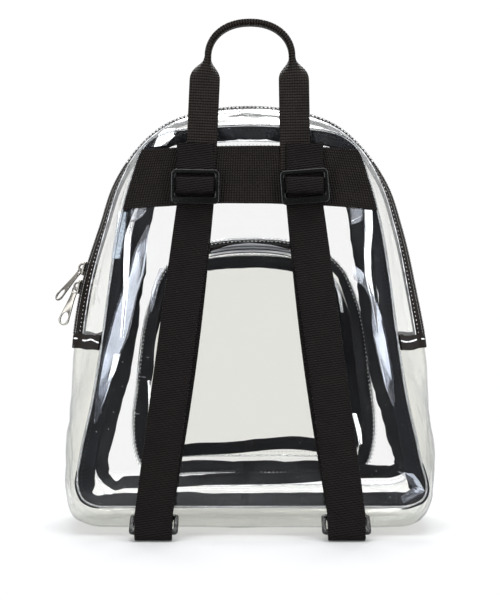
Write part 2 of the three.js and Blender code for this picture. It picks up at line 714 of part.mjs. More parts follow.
// The pocket's slider and pull, at the top of its right side
const pocketSliderStation = pocketRightEnd + 1.5 * stepsPerRow;
const pocketSliderFrame = new THREE.Group();
{
  const out = pocketPoint(pocketSliderStation, 0.5, 1).sub(pocketPoint(pocketSliderStation, 0.5, 0)).normalize();
  const before = pocketPoint(pocketSliderStation - 0.5, 0.5, 0);
  const up = pocketPoint(pocketSliderStation + 0.5, 0.5, 0).sub(before).normalize();
  const across = new THREE.Vector3().crossVectors(up, out);
  pocketSliderFrame.matrix.makeBasis(across, up, out);
  pocketSliderFrame.matrix.setPosition(pocketPoint(pocketSliderStation, 0.5, pocketCoilHeight / 2 + gap));
  pocketSliderFrame.matrixAutoUpdate = false;
}
backpack.add(pocketSliderFrame);
addPiece('pocket_slider', sliderGeometry(
  sliderLength, sliderWidth, sliderThickness, crownSpan, crownRise), nickel, pocketSliderFrame);
const pocketPull = addPiece('pocket_pull', pullGeometry(
  pullLength, pullWidth, pullThickness, pullEye), nickel, pocketSliderFrame);
seatPull(pocketPull, pullLowerLean);

// Yoke webbing, from seam to seam on the back panel

function panelHalfWidthAt(z) {
  for (let k = 0; k < ringCount / 2; k++) {
    const [low, high] = [panelRing[k], panelRing[k + 1]];
    if (low.z <= z && high.z > z && low.x > panelWidth / 4) {
      return low.x + (high.x - low.x) * (z - low.z) / (high.z - low.z);
    }
  }
  return panelWidth / 4;
}

function backSkin(x, z) {
  return backFace - domeHeight(x, z, backDome);
}

const yokeSteps = 14;
const yokeRows = [0, 0.33, 0.67, 1];

function yokeSurface(offset) {
  const grid = [];
  for (let i = 0; i <= yokeSteps; i++) {
    const across = 2 * i / yokeSteps - 1;
    grid.push(yokeRows.map((share) => {
      const low = yokeTop - yokeWidth - yokeBottomSag * across * across;
      const high = yokeTop - yokeTopSag * across * across;
      const z = low + (high - low) * share;
      const x = across * (panelHalfWidthAt(z) - gap);
      return new THREE.Vector3(x, backSkin(x, z) - gap - offset, z);
    }));
  }
  return grid;
}

addPiece('yoke_webbing', thickSheet(yokeSurface(yokeThickness), yokeSurface(0)), blackWebbing);

// Grab handle: flat legs on the yoke, folded along its length to a narrow grip

const handleSeat = gap + yokeThickness + gap;

function handleSection(centre, across, out, fold) {
  // each half of the webbing turns back by the fold angle, about a narrow spine
  const spine = handleGripWidth / 2 - handleThickness;
  const arm = handleWidth / 2 - spine;
  const armDirection = (side) => across.clone().multiplyScalar(side * Math.cos(fold))
    .addScaledVector(out, -Math.sin(fold));
  const armNormal = (side) => across.clone().multiplyScalar(side * Math.sin(fold))
    .addScaledVector(out, Math.cos(fold));
  const rail = (level) => {
    const points = [];
    for (const side of [-1, 1]) {
      const face = centre.clone().addScaledVector(across, side * spine)
        .addScaledVector(armNormal(side), level);
      const tip = face.clone().addScaledVector(armDirection(side), arm);
      const root = face.addScaledVector(out, level * Math.sin(fold));
      points.push(...(side < 0 ? [tip, root] : [root, tip]));
    }
    return points;
  };
  return { outer: rail(handleThickness), inner: rail(0) };
}

function handleStations() {
  const stations = [];
  const legSteps = 3;
  const foldSteps = 5;
  const arcSteps = 8;
  for (let i = 0; i <= legSteps; i++) {
    const z = handleLegFoot + (handleFoldStart - handleLegFoot) * i / legSteps;
    stations.push({ x: handleSpread, z, fold: 0 });
  }
  for (let i = 1; i <= foldSteps; i++) {
    const t = i / foldSteps;
    const x = handleSpread + (handleNeckSpread - handleSpread) * t * t;
    const z = handleFoldStart + (handleNeck - handleFoldStart) * t;
    stations.push({ x, z, fold: Math.PI / 2 * Math.sin(Math.PI / 2 * t) });
  }
  const rise = handleTop - handleThickness - handleNeck;
  for (let i = 1; i <= arcSteps; i++) {
    const angle = Math.PI / 2 * i / arcSteps;
    stations.push({ x: handleNeckSpread * Math.cos(angle), z: handleNeck + rise * Math.sin(angle), fold: Math.PI / 2 });
  }
  return stations;
}

function handleGeometry() {
  const half = handleStations();
  const path = [
    ...half.map((s) => ({ ...s, x: -s.x })),
    ...half.slice(0, -1).reverse(),
  ];
  const out = new THREE.Vector3(0, -1, 0);
  const sections = path.map((s, k) => {
    const before = path[Math.max(k - 1, 0)];
    const after = path[Math.min(k + 1, path.length - 1)];
    const along = new THREE.Vector3(after.x - before.x, 0, after.z - before.z).normalize();
    const across = new THREE.Vector3().crossVectors(along, out).negate();
    const seat = backSkin(s.x, Math.min(s.z, panelTop)) - handleSeat;
    return handleSection(new THREE.Vector3(s.x, seat, s.z), across, out, s.fold);
  });
  return thickSheet(sections.map((s) => s.outer), sections.map((s) => s.inner));
}

addPiece('handle_webbing', handleGeometry(), blackWebbing);

// Ribbon of webbing along a path of points, its width along X

function ribbon(path, width, thickness) {
  const normals = path.map((p, k) => {
    const before = path[Math.max(k - 1, 0)];
    const after = path[Math.min(k + 1, path.length - 1)];
    return new THREE.Vector2(after.y - before.y, after.z - before.z).normalize();
  });
  const rail = (side) => path.map((p, k) => {
    // mitred, so that the thickness stays the same round a bend
    const into = new THREE.Vector2(p.y - path[Math.max(k - 1, 0)].y, p.z - path[Math.max(k - 1, 0)].z);
    const mitre = k === 0 ? 1 : Math.max(0.5, into.normalize().dot(normals[k]));
    const offset = side * thickness / 2 / mitre;
    const [y, z] = [p.y - normals[k].y * offset, p.z + normals[k].x * offset];
    return [-1, 1].map((edge) => new THREE.Vector3(p.x + edge * width / 2, y, z));
  });
  return thickSheet(rail(1), rail(-1));
}

// Points on an arc in the YZ plane, angles in degrees from +Y towards +Z
function arcPoints(centre, radius, from, to, steps) {
  const points = [];
  for (let i = 0; i <= steps; i++) {
    const angle = THREE.MathUtils.degToRad(from + (to - from) * i / steps);
    points.push(new THREE.Vector2(centre.x + radius * Math.cos(angle), centre.y + radius * Math.sin(angle)));
  }
  return points;
}

// Places in the YZ plane, as a Vector2 of Y and Z
const layer = webbingThickness + gap;
const halfLayer = webbingThickness / 2 + gap;
const handleOuterFace = -(halfDepth + 2 * gap + clearSheet + yokeThickness + gap + handleThickness);
const strapSeat = handleOuterFace - gap - webbingThickness / 2 - strapTopLift;
const glideBack = strapSeat - 2 * layer + halfLayer;
const glidePlane = glideBack - glideThickness / 2;
const glideTop = glideMiddleHeight + glideHeight / 2;
const glideFoot = glideMiddleHeight - glideHeight / 2;
const slotHeight = (glideHeight - glideTopBar - glideCentreBar - glideBottomBar) / 2;
const centreBarHigh = glideTop - glideTopBar - slotHeight;
const centreBarLow = centreBarHigh - glideCentreBar;
const behindGlide = glideBack + halfLayer;
const hiddenLayer = behindGlide + layer;
const frontOfBar = glideBack - glideThickness - halfLayer;
const frontOfLoop = frontOfBar - layer;

const ringCentreStep = ringDepth - ringBar;
const ringOuter = new THREE.Vector2(-halfDepth - ringReach, ringOuterBarHeight);
const ringInner = new THREE.Vector2(
  ringOuter.x + ringCentreStep * Math.cos(THREE.MathUtils.degToRad(ringTilt)),
  ringOuter.y + ringCentreStep * Math.sin(THREE.MathUtils.degToRad(ringTilt)));
const ringClearHeight = ringInner.y + ringBar;
const wrapRadius = ringBar / 2 * Math.SQRT2 + gap + webbingThickness / 2;

// One strap from its sewn top, through the slider, down to the ring, back up and round the centre bar
function strapPath(side) {
  const places = [];
  const put = (y, z, shift = 0) => places.push({ y, z, shift });
  const passHigh = centreBarHigh + halfLayer + layer;
  const passLow = centreBarLow - halfLayer - layer;
  put(strapSeat, strapTopHeight);
  put(strapSeat, glideTop + strapDip);
  put(behindGlide, glideTop);
  put(behindGlide, passHigh + tightTurn);
  put(behindGlide - tightTurn, passHigh);
  put(frontOfLoop + tightTurn, passHigh);
  put(frontOfLoop, passHigh - tightTurn);
  put(frontOfLoop, passLow + tightTurn);
  put(frontOfLoop + tightTurn, passLow);
  put(behindGlide - tightTurn, passLow);
  put(behindGlide, passLow - tightTurn);
  put(behindGlide, glideFoot);
  const steps = 7;
  const frontFoot = ringOuter.x - wrapRadius;
  for (let i = 1; i <= steps; i++) {
    const t = i / steps;
    const z = glideFoot + (ringOuter.y + foldRise - glideFoot) * t;
    put(behindGlide + (frontFoot - behindGlide) * t - strapBow * Math.sin(Math.PI * t), z);
  }
  const foldCentre = new THREE.Vector2(ringOuter.x, ringOuter.y - foldDrop);
  for (const p of arcPoints(foldCentre, wrapRadius, 180, 360, 6)) {
    put(p.x, p.y);
  }
  const backFoot = ringOuter.x + wrapRadius;
  for (let i = 1; i <= steps; i++) {
    const t = i / steps;
    const z = ringOuter.y + foldRise + (glideFoot - ringOuter.y - foldRise) * t;
    const y = backFoot + (hiddenLayer - backFoot) * t - hiddenBow * Math.sin(Math.PI * t);
    put(y, z, strapLayerShift * Math.sin(Math.PI * t));
  }
  put(hiddenLayer, centreBarLow - halfLayer - tightTurn);
  put(hiddenLayer - tightTurn, centreBarLow - halfLayer);
  put(frontOfBar + tightTurn, centreBarLow - halfLayer);
  put(frontOfBar, centreBarLow - halfLayer + tightTurn);
  put(frontOfBar, centreBarHigh + halfLayer - tightTurn);
  put(frontOfBar + tightTurn, centreBarHigh + halfLayer);
  put(behindGlide - tightTurn, centreBarHigh + halfLayer);
  put(behindGlide, centreBarHigh + halfLayer - tightTurn);
  put(behindGlide, centreBarLow + webbingThickness);
  return places.map(({ y, z, shift }) => {
    const down = THREE.MathUtils.clamp((glideFoot - z) / (glideFoot - ringClearHeight), 0, 1);
    const spread = strapTopSpread + (strapFootSpread - strapTopSpread) * down - shift;
    return new THREE.Vector3(side * spread, y, z);
  });
}

// A flat frame with windows, lying in its own XY plane, its thickness about Z
function frameGeometry(width, height, corner, windows, thickness) {
  const outline = roundedRectangle(new THREE.Shape(), 0, 0, width, height, corner);
  for (const { y, high } of windows) {
    outline.holes.push(roundedRectangle(
      new THREE.Path(), 0, y, width - 2 * glideSideBar, high, slotCorner));
  }
  const geometry = new THREE.ExtrudeGeometry(outline, {
    depth: thickness, bevelEnabled: false, curveSegments: 2,
  });
  geometry.translate(0, 0, -thickness / 2);
  return geometry;
}

function roundedRectangle(path, x, y, width, height, corner) {
  const [right, top] = [width / 2, height / 2];
  path.absarc(x + right - corner, y + top - corner, corner, 0, Math.PI / 2, false);
  path.absarc(x - right + corner, y + top - corner, corner, Math.PI / 2, Math.PI, false);
  path.absarc(x - right + corner, y - top + corner, corner, Math.PI, Math.PI * 1.5, false);
  path.absarc(x + right - corner, y - top + corner, corner, Math.PI * 1.5, Math.PI * 2, false);
  path.closePath();
  return path;
}

const upperSlot = centreBarHigh + slotHeight / 2 - glideMiddleHeight;
const lowerSlot = centreBarLow - slotHeight / 2 - glideMiddleHeight;

for (const [name, side] of [['left', -1], ['right', 1]]) {
  addPiece(`shoulder_strap_${name}`, ribbon(strapPath(side), strapWidth, webbingThickness), blackWebbing);

  const glide = addPiece(`tri_glide_${name}`, frameGeometry(
    glideWidth, glideHeight, glideCorner,
    [{ y: upperSlot, high: slotHeight }, { y: lowerSlot, high: slotHeight }], glideThickness), blackPlastic);
  glide.position.set(side * strapTopSpread, glidePlane, glideMiddleHeight);
  glide.rotation.x = Math.PI / 2;

  const ring = addPiece(`strap_ring_${name}`, frameGeometry(
    ringWidth, ringDepth, ringCorner, [{ y: 0, high: ringDepth - 2 * ringBar }], ringBar), blackPlastic);
  ring.position.set(
    side * strapFootSpread, (ringOuter.x + ringInner.x) / 2, (ringOuter.y + ringInner.y) / 2);
  ring.rotation.x = THREE.MathUtils.degToRad(ringTilt);

  // the tab is sewn to the bottom seam and loops round the ring's inner bar, clear of the seam
  const [loopStart, loopEnd] = [60, 300];
  const sewn = backFace - gap - webbingThickness / 2;
  const loop = [
    new THREE.Vector2(sewn, panelFoot + tabSewnHeight),
    new THREE.Vector2(sewn, panelFoot + webbingThickness),
    ...arcPoints(ringInner, wrapRadius, loopStart, loopEnd, 7),
    new THREE.Vector2(-halfDepth - gap, panelFoot - tabTuck),
  ];
  const tab = loop.map((p) => new THREE.Vector3(side * strapFootSpread, p.x, p.y));
  addPiece(`strap_tab_${name}`, ribbon(tab, tabWidth, webbingThickness), blackWebbing);
}

export default backpack;
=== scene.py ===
# %% [markdown]
# # A clear backpack with webbing straps
# The bag is a loft of clear PVC sheet: a back panel, a front panel, and a gusset strip round the sides
# and the top. Black tape binds every seam on the inside, and a zip runs over the ridge of the gusset.
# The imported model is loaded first. It is the frame that every visible piece is fitted to.

# %% Load the frame
import json
import math
import bmesh
import bpy
import numpy as np
from mathutils import Matrix, Vector, noise

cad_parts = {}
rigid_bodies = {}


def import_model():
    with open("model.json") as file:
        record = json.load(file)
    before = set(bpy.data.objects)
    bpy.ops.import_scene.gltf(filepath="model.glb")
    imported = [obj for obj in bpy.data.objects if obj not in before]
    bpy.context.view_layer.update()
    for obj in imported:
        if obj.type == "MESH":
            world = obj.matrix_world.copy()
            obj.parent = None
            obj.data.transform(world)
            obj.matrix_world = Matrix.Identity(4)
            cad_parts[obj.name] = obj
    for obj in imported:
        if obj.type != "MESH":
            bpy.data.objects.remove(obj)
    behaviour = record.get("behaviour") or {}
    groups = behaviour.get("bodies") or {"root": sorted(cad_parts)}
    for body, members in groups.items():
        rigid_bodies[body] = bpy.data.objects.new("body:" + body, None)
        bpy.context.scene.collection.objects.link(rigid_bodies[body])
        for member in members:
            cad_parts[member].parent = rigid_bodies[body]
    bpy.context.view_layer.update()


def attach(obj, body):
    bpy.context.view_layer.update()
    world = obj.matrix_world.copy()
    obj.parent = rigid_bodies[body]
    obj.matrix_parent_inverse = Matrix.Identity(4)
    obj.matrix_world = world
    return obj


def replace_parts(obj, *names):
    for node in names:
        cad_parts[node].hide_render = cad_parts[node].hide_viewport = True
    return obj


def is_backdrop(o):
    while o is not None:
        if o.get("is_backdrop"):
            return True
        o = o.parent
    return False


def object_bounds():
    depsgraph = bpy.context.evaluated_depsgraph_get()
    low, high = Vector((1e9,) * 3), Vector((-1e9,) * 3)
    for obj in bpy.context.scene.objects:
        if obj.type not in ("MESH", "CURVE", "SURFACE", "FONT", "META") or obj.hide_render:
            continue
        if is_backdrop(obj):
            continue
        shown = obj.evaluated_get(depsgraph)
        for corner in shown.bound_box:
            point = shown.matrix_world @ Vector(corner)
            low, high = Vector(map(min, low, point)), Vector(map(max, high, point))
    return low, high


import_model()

# %% [markdown]
# ## The camera
# The camera stands level with the middle of the bag, a little over a metre from it, and has a long lens.
# A short lens close by would look the same at the edges, but it would shrink the far panel too much.

# %% Camera
mm = 0.001
camera_data = bpy.data.cameras.new("camera")
camera_data.lens = 95.6
camera_data.sensor_width = 36
camera = bpy.data.objects.new("camera", camera_data)
camera.location = (0, -1160 * mm, 175 * mm)
camera.rotation_euler = (math.radians(90 - 0.61), 0, 0)
bpy.context.scene.collection.objects.link(camera)
bpy.context.scene.camera = camera
print("camera at", tuple(round(v, 3) for v in camera.location))

# %% [markdown]
# ## The bag's own sizes
# These are the sizes of the pattern pieces, in millimetres. Each outline is given as half of the bag,
# from the bottom middle round to the top middle, in shares of the panel and of the crown. The crown is
# the line that stands furthest out on the gusset, where the zip runs.

# %% Sizes of the body
ridge_height, bag_width, bag_depth = 305, 264, 120
panel_foot, panel_top, panel_width = 20, 284, 239
back_dome = front_dome = 3
half_depth = bag_depth / 2
gap = 0.3
sheet_thickness = 0.6
back_face = -(half_depth + gap + 1)
front_face = half_depth + gap + 1
# (panel out, panel up, crown out, crown up)
body_outline = [
    (0, 0, 0, 0), (0.42, 0, 0.4, 0), (0.77, 0, 0.74, 0), (0.89, 0.002, 0.865, 0.005),
    (0.968, 0.02, 0.95, 0.026), (1, 0.062, 0.988, 0.072), (0.975, 0.152, 1, 0.164),
    (0.912, 0.28, 0.988, 0.302), (0.858, 0.428, 0.962, 0.436), (0.806, 0.606, 0.888, 0.59),
    (0.757, 0.739, 0.814, 0.708), (0.69, 0.852, 0.744, 0.806), (0.611, 0.944, 0.618, 0.89),
    (0.5, 0.978, 0.47, 0.947), (0.26, 0.994, 0.245, 0.985), (0, 1, 0, 1),
]
zip_end_row = 8
row_count = 2 * (len(body_outline) - 1)
ridge_profile = ([0, 0.1, 0.25, 0.6, 0.84, 1], [1, 0.93, 0.7, 0.38, 0.17, 0])
round_profile = ([0, 0.367, 0.64, 0.86, 1], [1, 1, 0.86, 0.48, 0])
print("rows round the body:", row_count)

# %% [markdown]
# ## Smooth outlines
# A tailor draws a smooth line through a few marks. A centripetal Catmull-Rom curve does the same and
# never loops between two close marks, so it is used for every outline here. A soft bag is never quite
# even, so four soft humps push its outlines out or in by two to four millimetres.

# %% Smooth closed curves
def smooth_ring(marks, steps):
    """Points on a closed curve through the marks, with that many steps from mark to mark."""
    marks = np.asarray(marks, float)
    ring = []
    for k in range(len(marks)):
        p0, p1, p2, p3 = (marks[(k + j) % len(marks)] for j in (-1, 0, 1, 2))
        d0, d1, d2 = (max(np.sum((b - a) ** 2) ** 0.25, 1e-4) for a, b in ((p0, p1), (p1, p2), (p2, p3)))
        t1 = ((p1 - p0) / d0 - (p2 - p0) / (d0 + d1) + (p2 - p1) / d1) * d1
        t2 = ((p2 - p1) / d1 - (p3 - p1) / (d1 + d2) + (p3 - p2) / d2) * d1
        for step in range(steps):
            t = step / steps
            ring.append(p1 + t1 * t + (3 * (p2 - p1) - 2 * t1 - t2) * t ** 2
                        + (2 * (p1 - p2) + t1 + t2) * t ** 3)
    return np.array(ring)


def mirrored(half, place):
    """Marks for the right half, then the left half, of a mirrored outline."""
    right = [place(row, 1) for row in half]
    left = [place(row, -1) for row in half[1:-1]][::-1]
    return right + left


print("smooth outline helpers ready")

# %% Outlines of the panels and the crown
ring_steps = 16
panel_ring = smooth_ring(mirrored(body_outline, lambda r, side: (
    side * r[0] * panel_width / 2, panel_foot + r[1] * (panel_top - panel_foot))), ring_steps)
crown_ring = smooth_ring(mirrored(body_outline, lambda r, side: (
    side * r[2] * bag_width / 2, r[3] * ridge_height)), ring_steps)
panel_ring[:, 1] = np.maximum(panel_ring[:, 1], panel_foot)
crown_ring[:, 1] = np.maximum(crown_ring[:, 1], 0)
print("points on an outline:", len(panel_ring))


# %% Humps of a soft bag
def hump(value, middle, spread):
    """1 at the middle, fading softly to nothing on both sides."""
    return np.exp(-((value - middle) / spread) ** 2)


def ramp(distance, length):
    """0 up to the start, then rising evenly to 1 over the length."""
    return min(max(distance / length, 0), 1)


left = crown_ring[:, 0] < 0
# The zip bulges on the left, where its sliders hang.
crown_ring[:, 0] -= left * 2.8 * hump(crown_ring[:, 1], 172, 42)
# The right side is fuller higher up.
crown_ring[:, 0] += ~left * 1.8 * hump(crown_ring[:, 1], 215, 35)
# The top sinks a little under the handle.
crown_ring[:, 1] -= (crown_ring[:, 1] > 280) * 2.6 * hump(crown_ring[:, 0], 0, 36)
# The panels' lower right corner is pushed out.
panel_ring[:, 0] += (panel_ring[:, 0] > 60) * 4.0 * hump(panel_ring[:, 1], 27, 15)
print("crown is", round(float(np.ptp(crown_ring[:, 0])), 1), "mm wide")


# %% Places on an outline
def at(ring, row):
    """The ring's point at a row number, which may lie between two rows. Rows count round the body."""
    place = np.asarray(row, float) * ring_steps
    low = np.floor(place).astype(int)
    t = (place - low)[..., None]
    return ring[low % len(ring)] * (1 - t) + ring[(low + 1) % len(ring)] * t


def outward(ring, row, reach=0.25):
    """Unit vector out of the ring, in the XZ plane."""
    along = at(ring, np.asarray(row) + reach) - at(ring, np.asarray(row) - reach)
    along /= np.linalg.norm(along, axis=-1, keepdims=True)
    return np.stack([along[..., 1], -along[..., 0]], -1)


print("the zip ends", round(float(at(crown_ring, zip_end_row)[1]), 1), "mm above the floor")

# %% [markdown]
# ## The gusset surface
# Across its depth the gusset rises from the panels' seams to the crown. Along the zip it comes to a soft
# ridge, because the stiff coil holds it up, and along the bottom it is round. PVC never lies quite flat:
# it keeps soft buckles from the way it was folded, so a little smooth noise is added between the seams.

# %% Rise of the gusset
def profile(table, share):
    """Rise at a share of the depth, smoothed so that no hard line shows between two marks."""
    shares, rises = table
    soft = np.linspace(-0.045, 0.045, 7)
    return np.mean([np.interp(np.abs(np.abs(share) + s), shares, rises) for s in soft], axis=0)


def from_bottom(row):
    """Rows between here and the bottom middle, by the shorter way round."""
    return np.minimum(row, row_count - row)


def zip_share(row):
    """1 along the zip, 0 along the bottom, with a short change between them."""
    row = np.asarray(row, float) % row_count
    t = np.clip(1 - (zip_end_row - from_bottom(row)) / 2, 0, 1)
    return t * t * (3 - 2 * t)


print("share of the zip's ridge at row 7:", round(float(zip_share(7)), 2))


# %% Gusset surface
def buckle(point, size, seed):
    """Smooth noise from -1 to 1 whose lumps are about that many millimetres long."""
    return noise.noise(Vector(point) / size + Vector((seed * 17.3, seed * 5.1, seed * 9.7)))


far_fullness = 1.35  # above 1, so the pocket side stays out further before it turns in to its seam


def gusset_points(rows, depths, lift=0.0, slack=0.0, seed=1):
    """Grid of points in mm: one line for each row number, one column for each depth. lift moves it
    outwards, and slack is the height of its buckles, which die out at the seams, the zip and the floor."""
    rows, depths = np.asarray(rows, float), np.asarray(depths, float)
    share = depths / half_depth
    share = np.where(share > 0, np.abs(share) ** far_fullness, share)
    mix = zip_share(rows)[:, None]
    rise = mix * profile(ridge_profile, share)[None] + (1 - mix) * profile(round_profile, share)[None]
    rise = np.where(np.abs(share)[None] > 0.999, 0, rise)
    xz = at(panel_ring, rows)[:, None] * (1 - rise[..., None]) + at(crown_ring, rows)[:, None] * rise[..., None]
    out = outward(crown_ring, rows)
    grid = np.zeros((len(rows), len(depths), 3))
    grid[..., 0], grid[..., 2] = xz[..., 0], xz[..., 1]
    grid[..., 1] = depths[None]
    if slack:
        for i in range(len(rows)):
            for j, d in enumerate(depths):
                free = min(1, (half_depth - abs(d)) / 12) * min(1, abs(abs(d) - 2) / 10 + 1 - mix[i, 0])
                p = grid[i, j]
                bump = buckle((p[0], p[1] * 0.55, p[2] * 0.8), 34, seed) + 0.4 * buckle(p, 13, seed + 3)
                lift_here = slack * free * bump
                if p[2] < 6:
                    lift_here = min(lift_here * 0.2, 0) if p[2] < 1 else lift_here * 0.3
                grid[i, j, 0] += out[i, 0] * lift_here
                grid[i, j, 2] += out[i, 1] * lift_here
    grid[..., 0] += out[:, None, 0] * lift
    grid[..., 2] += out[:, None, 1] * lift
    return grid


print("gusset surface ready")

# %% [markdown]
# ## Two ways to give a sheet its body
# `shell` thickens a grid of points into a closed sheet with a rounded edge. `sweep` carries a cross
# section along a path, which suits webbing, tape and thread. Both write a UV map in millimetres, so that
# a weave follows the cloth round every bend at its real size.

# %% A piece from points in mm
def finish_mesh(name, vertices, faces, uvs, material, smooth=50):
    """Makes the object from points in mm, faces outwards and smooth up to an angle."""
    mesh = bpy.data.meshes.new(name)
    mesh.from_pydata([tuple(v * mm for v in p) for p in vertices], [], faces)
    if uvs is not None:
        layer = mesh.uv_layers.new(name="weave")
        for loop in mesh.loops:
            layer.data[loop.index].uv = uvs[loop.vertex_index]
    build = bmesh.new()
    build.from_mesh(mesh)
    bmesh.ops.recalc_face_normals(build, faces=build.faces)
    build.to_mesh(mesh)
    build.free()
    piece = bpy.data.objects.new(name, mesh)
    bpy.context.scene.collection.objects.link(piece)
    mesh.materials.append(material)
    bpy.ops.object.select_all(action="DESELECT")
    piece.select_set(True)
    bpy.context.view_layer.objects.active = piece
    bpy.ops.object.shade_smooth_by_angle(angle=math.radians(smooth))
    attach(piece, "root")
    return piece


print("finish_mesh ready")


# %% Shell
def lengths(points):
    """Running length along a line of points."""
    steps = np.linalg.norm(np.diff(points, axis=0), axis=1)
    return np.concatenate([[0], np.cumsum(steps)])


def unit(v):
    """The same direction with a length of 1."""
    return v / np.maximum(np.linalg.norm(v, axis=-1, keepdims=True), 1e-9)


def shell(name, grid, thickness, material, ring=False, rounded=0.5):
    """A closed sheet round a grid of points. With ring, its last line joins its first. rounded is how
    far its long edges stand out, as a share of the thickness."""
    n, m = grid.shape[:2]
    if ring:
        along = np.roll(grid, -1, 0) - np.roll(grid, 1, 0)
    else:
        along = np.gradient(grid, axis=0)
    across = np.gradient(grid, axis=1)
    normal = unit(np.cross(along, across))
    edge0 = unit(grid[:, 0] - grid[:, 1]) * thickness * rounded
    edge1 = unit(grid[:, -1] - grid[:, -2]) * thickness * rounded
    top = grid + normal * thickness / 2
    under = grid - normal * thickness / 2
    loop = np.concatenate([top, (grid[:, -1] + edge1)[:, None], under[:, ::-1], (grid[:, 0] + edge0)[:, None]], 1)
    k = loop.shape[1]
    vertices = loop.reshape(-1, 3)
    u = lengths(grid[n // 2])
    u_loop = np.concatenate([u, [u[-1]], u[::-1], [u[0]]])
    v = lengths(grid[:, m // 2])
    uvs = [(u_loop[j], v[i]) for i in range(n) for j in range(k)]
    faces = []
    for i in range(n if ring else n - 1):
        a, b = i * k, ((i + 1) % n) * k
        faces += [(a + j, b + j, b + (j + 1) % k, a + (j + 1) % k) for j in range(k)]
    if not ring:
        for i in (0, n - 1):
            for j in range(m - 1):
                faces.append((i * k + j, i * k + j + 1, i * k + 2 * m - 1 - j, i * k + 2 * m - j))
            faces.append((i * k + m - 1, i * k + m, i * k + m + 1))
            faces.append((i * k, i * k + 2 * m, i * k + 2 * m + 1))
    return finish_mesh(name, vertices, faces, uvs, material)


print("shell ready")


# %% Sweep
def sweep(name, centres, rights, ups, sections, material, ring=False, smooth=50):
    """Carries cross sections along a path. sections holds (right, up) pairs in mm for each station."""
    centres, rights, ups = np.asarray(centres), np.asarray(rights), np.asarray(ups)
    sections = np.asarray(sections, float)
    if sections.ndim == 2:
        sections = np.repeat(sections[None], len(centres), 0)
    n, k = sections.shape[:2]
    points = (centres[:, None] + rights[:, None] * sections[..., 0:1] + ups[:, None] * sections[..., 1:2])
    v = lengths(centres)
    u = sections[0, :, 0]
    uvs = [(u[j], v[i]) for i in range(n) for j in range(k)]
    faces = []
    for i in range(n if ring else n - 1):
        a, b = i * k, ((i + 1) % n) * k
        faces += [(a + j, b + j, b + (j + 1) % k, a + (j + 1) % k) for j in range(k)]
    if not ring:
        faces += [tuple(range(k)), tuple((n - 1) * k + j for j in range(k))]
    return finish_mesh(name, points.reshape(-1, 3), faces, uvs, material, smooth)


print("sweep ready")

# %% [markdown]
# ## Finishes
# Colours are written as sRGB hex values, as a designer would pick them, and one function turns them to
# the linear values that a renderer adds up. One small function adds a node, with its settings and links.

# %% Colour and node helpers
def linear(code):
    """sRGB hex such as #1a1614 to linear RGBA."""
    parts = [int(code[i:i + 2], 16) / 255 for i in (1, 3, 5)]
    return tuple(c / 12.92 if c <= 0.04045 else ((c + 0.055) / 1.055) ** 2.4 for c in parts) + (1.0,)


def add(tree, kind, inputs=None, **settings):
    """Adds a node. An input given as a socket is linked, and any other value is set on the socket."""
    made = tree.nodes.new(kind)
    for key, value in settings.items():
        setattr(made, key, value)
    for key, value in (inputs or {}).items():
        if isinstance(value, bpy.types.NodeSocket):
            tree.links.new(value, made.inputs[key])
        else:
            made.inputs[key].default_value = value
    return made


def material(name):
    """A new material with only its output node."""
    made = bpy.data.materials.new(name)
    made.use_nodes = True
    made.node_tree.nodes.clear()
    return made, made.node_tree, made.node_tree.nodes.new("ShaderNodeOutputMaterial")


print("white is", linear("#ffffff")[0])

# %% [markdown]
# ### Clear PVC
# Calendered PVC sheet, about half a millimetre thick. It lets nearly all light through head on, turns
# more mirror-like as the eye looks along it, and its soft waves bend the reflections. The gloss is a thin
# mirror layer that grows with the angle, mixed over a transparent sheet. Seen along the sheet it is also
# painted grey, as painted shade for the darker room that it bends into view. The pocket is seen through
# two panels and looks a little warmer, the strips beside the zip get less of that painted grey at their
# edges, and a seam fold's painted shade is so strong that it soon turns dark.

# %% Clear PVC sheet
def clear_pvc(name, wave_mm, wave_depth, head_on=0.028, tint="#fdfdfd", grazing_shade="#8e9094", power=5.0):
    """The waves' length and depth are in mm. head_on is the mirror's share straight on, tint the sheet's
    colour there, grazing_shade the painted shade that greys it along the sheet, and a low power lets
    both set in sooner."""
    made, tree, out = material(name)
    place = add(tree, "ShaderNodeTexCoord").outputs["Object"]
    facing = add(tree, "ShaderNodeLayerWeight", {"Blend": 0.5}).outputs["Facing"]
    steep = add(tree, "ShaderNodeMath", {0: facing, 1: power}, operation="POWER").outputs[0]
    share = add(tree, "ShaderNodeMath", {0: steep, 1: 0.45, 2: head_on}, operation="MULTIPLY_ADD").outputs[0]
    # Seen along the sheet, its see-through colour turns to the grazing shade: painted shade for the darker room that
    # the sheet bends into view.
    rim = add(tree, "ShaderNodeMath", {0: facing, 1: power * 2.4}, operation="POWER").outputs[0]
    see = add(tree, "ShaderNodeMix", {"Factor": rim, 6: linear(tint), 7: linear(grazing_shade)}, data_type="RGBA")
    clear = add(tree, "ShaderNodeBsdfTransparent", {"Color": see.outputs[2]})
    waves = add(tree, "ShaderNodeTexNoise", {"Vector": place, "Scale": 1000 / wave_mm, "Detail": 1.5})
    bump = add(tree, "ShaderNodeBump", {"Height": waves.outputs["Fac"], "Distance": wave_depth * mm, "Strength": 1.0})
    gloss = add(tree, "ShaderNodeBsdfPrincipled", {
        "Base Color": linear("#f3f5f8"), "Metallic": 1.0, "Roughness": 0.045, "Normal": bump.outputs[0]})
    mixed = add(tree, "ShaderNodeMixShader", {0: share, 1: clear.outputs[0], 2: gloss.outputs[0]})
    tree.links.new(mixed.outputs[0], out.inputs["Surface"])
    return made


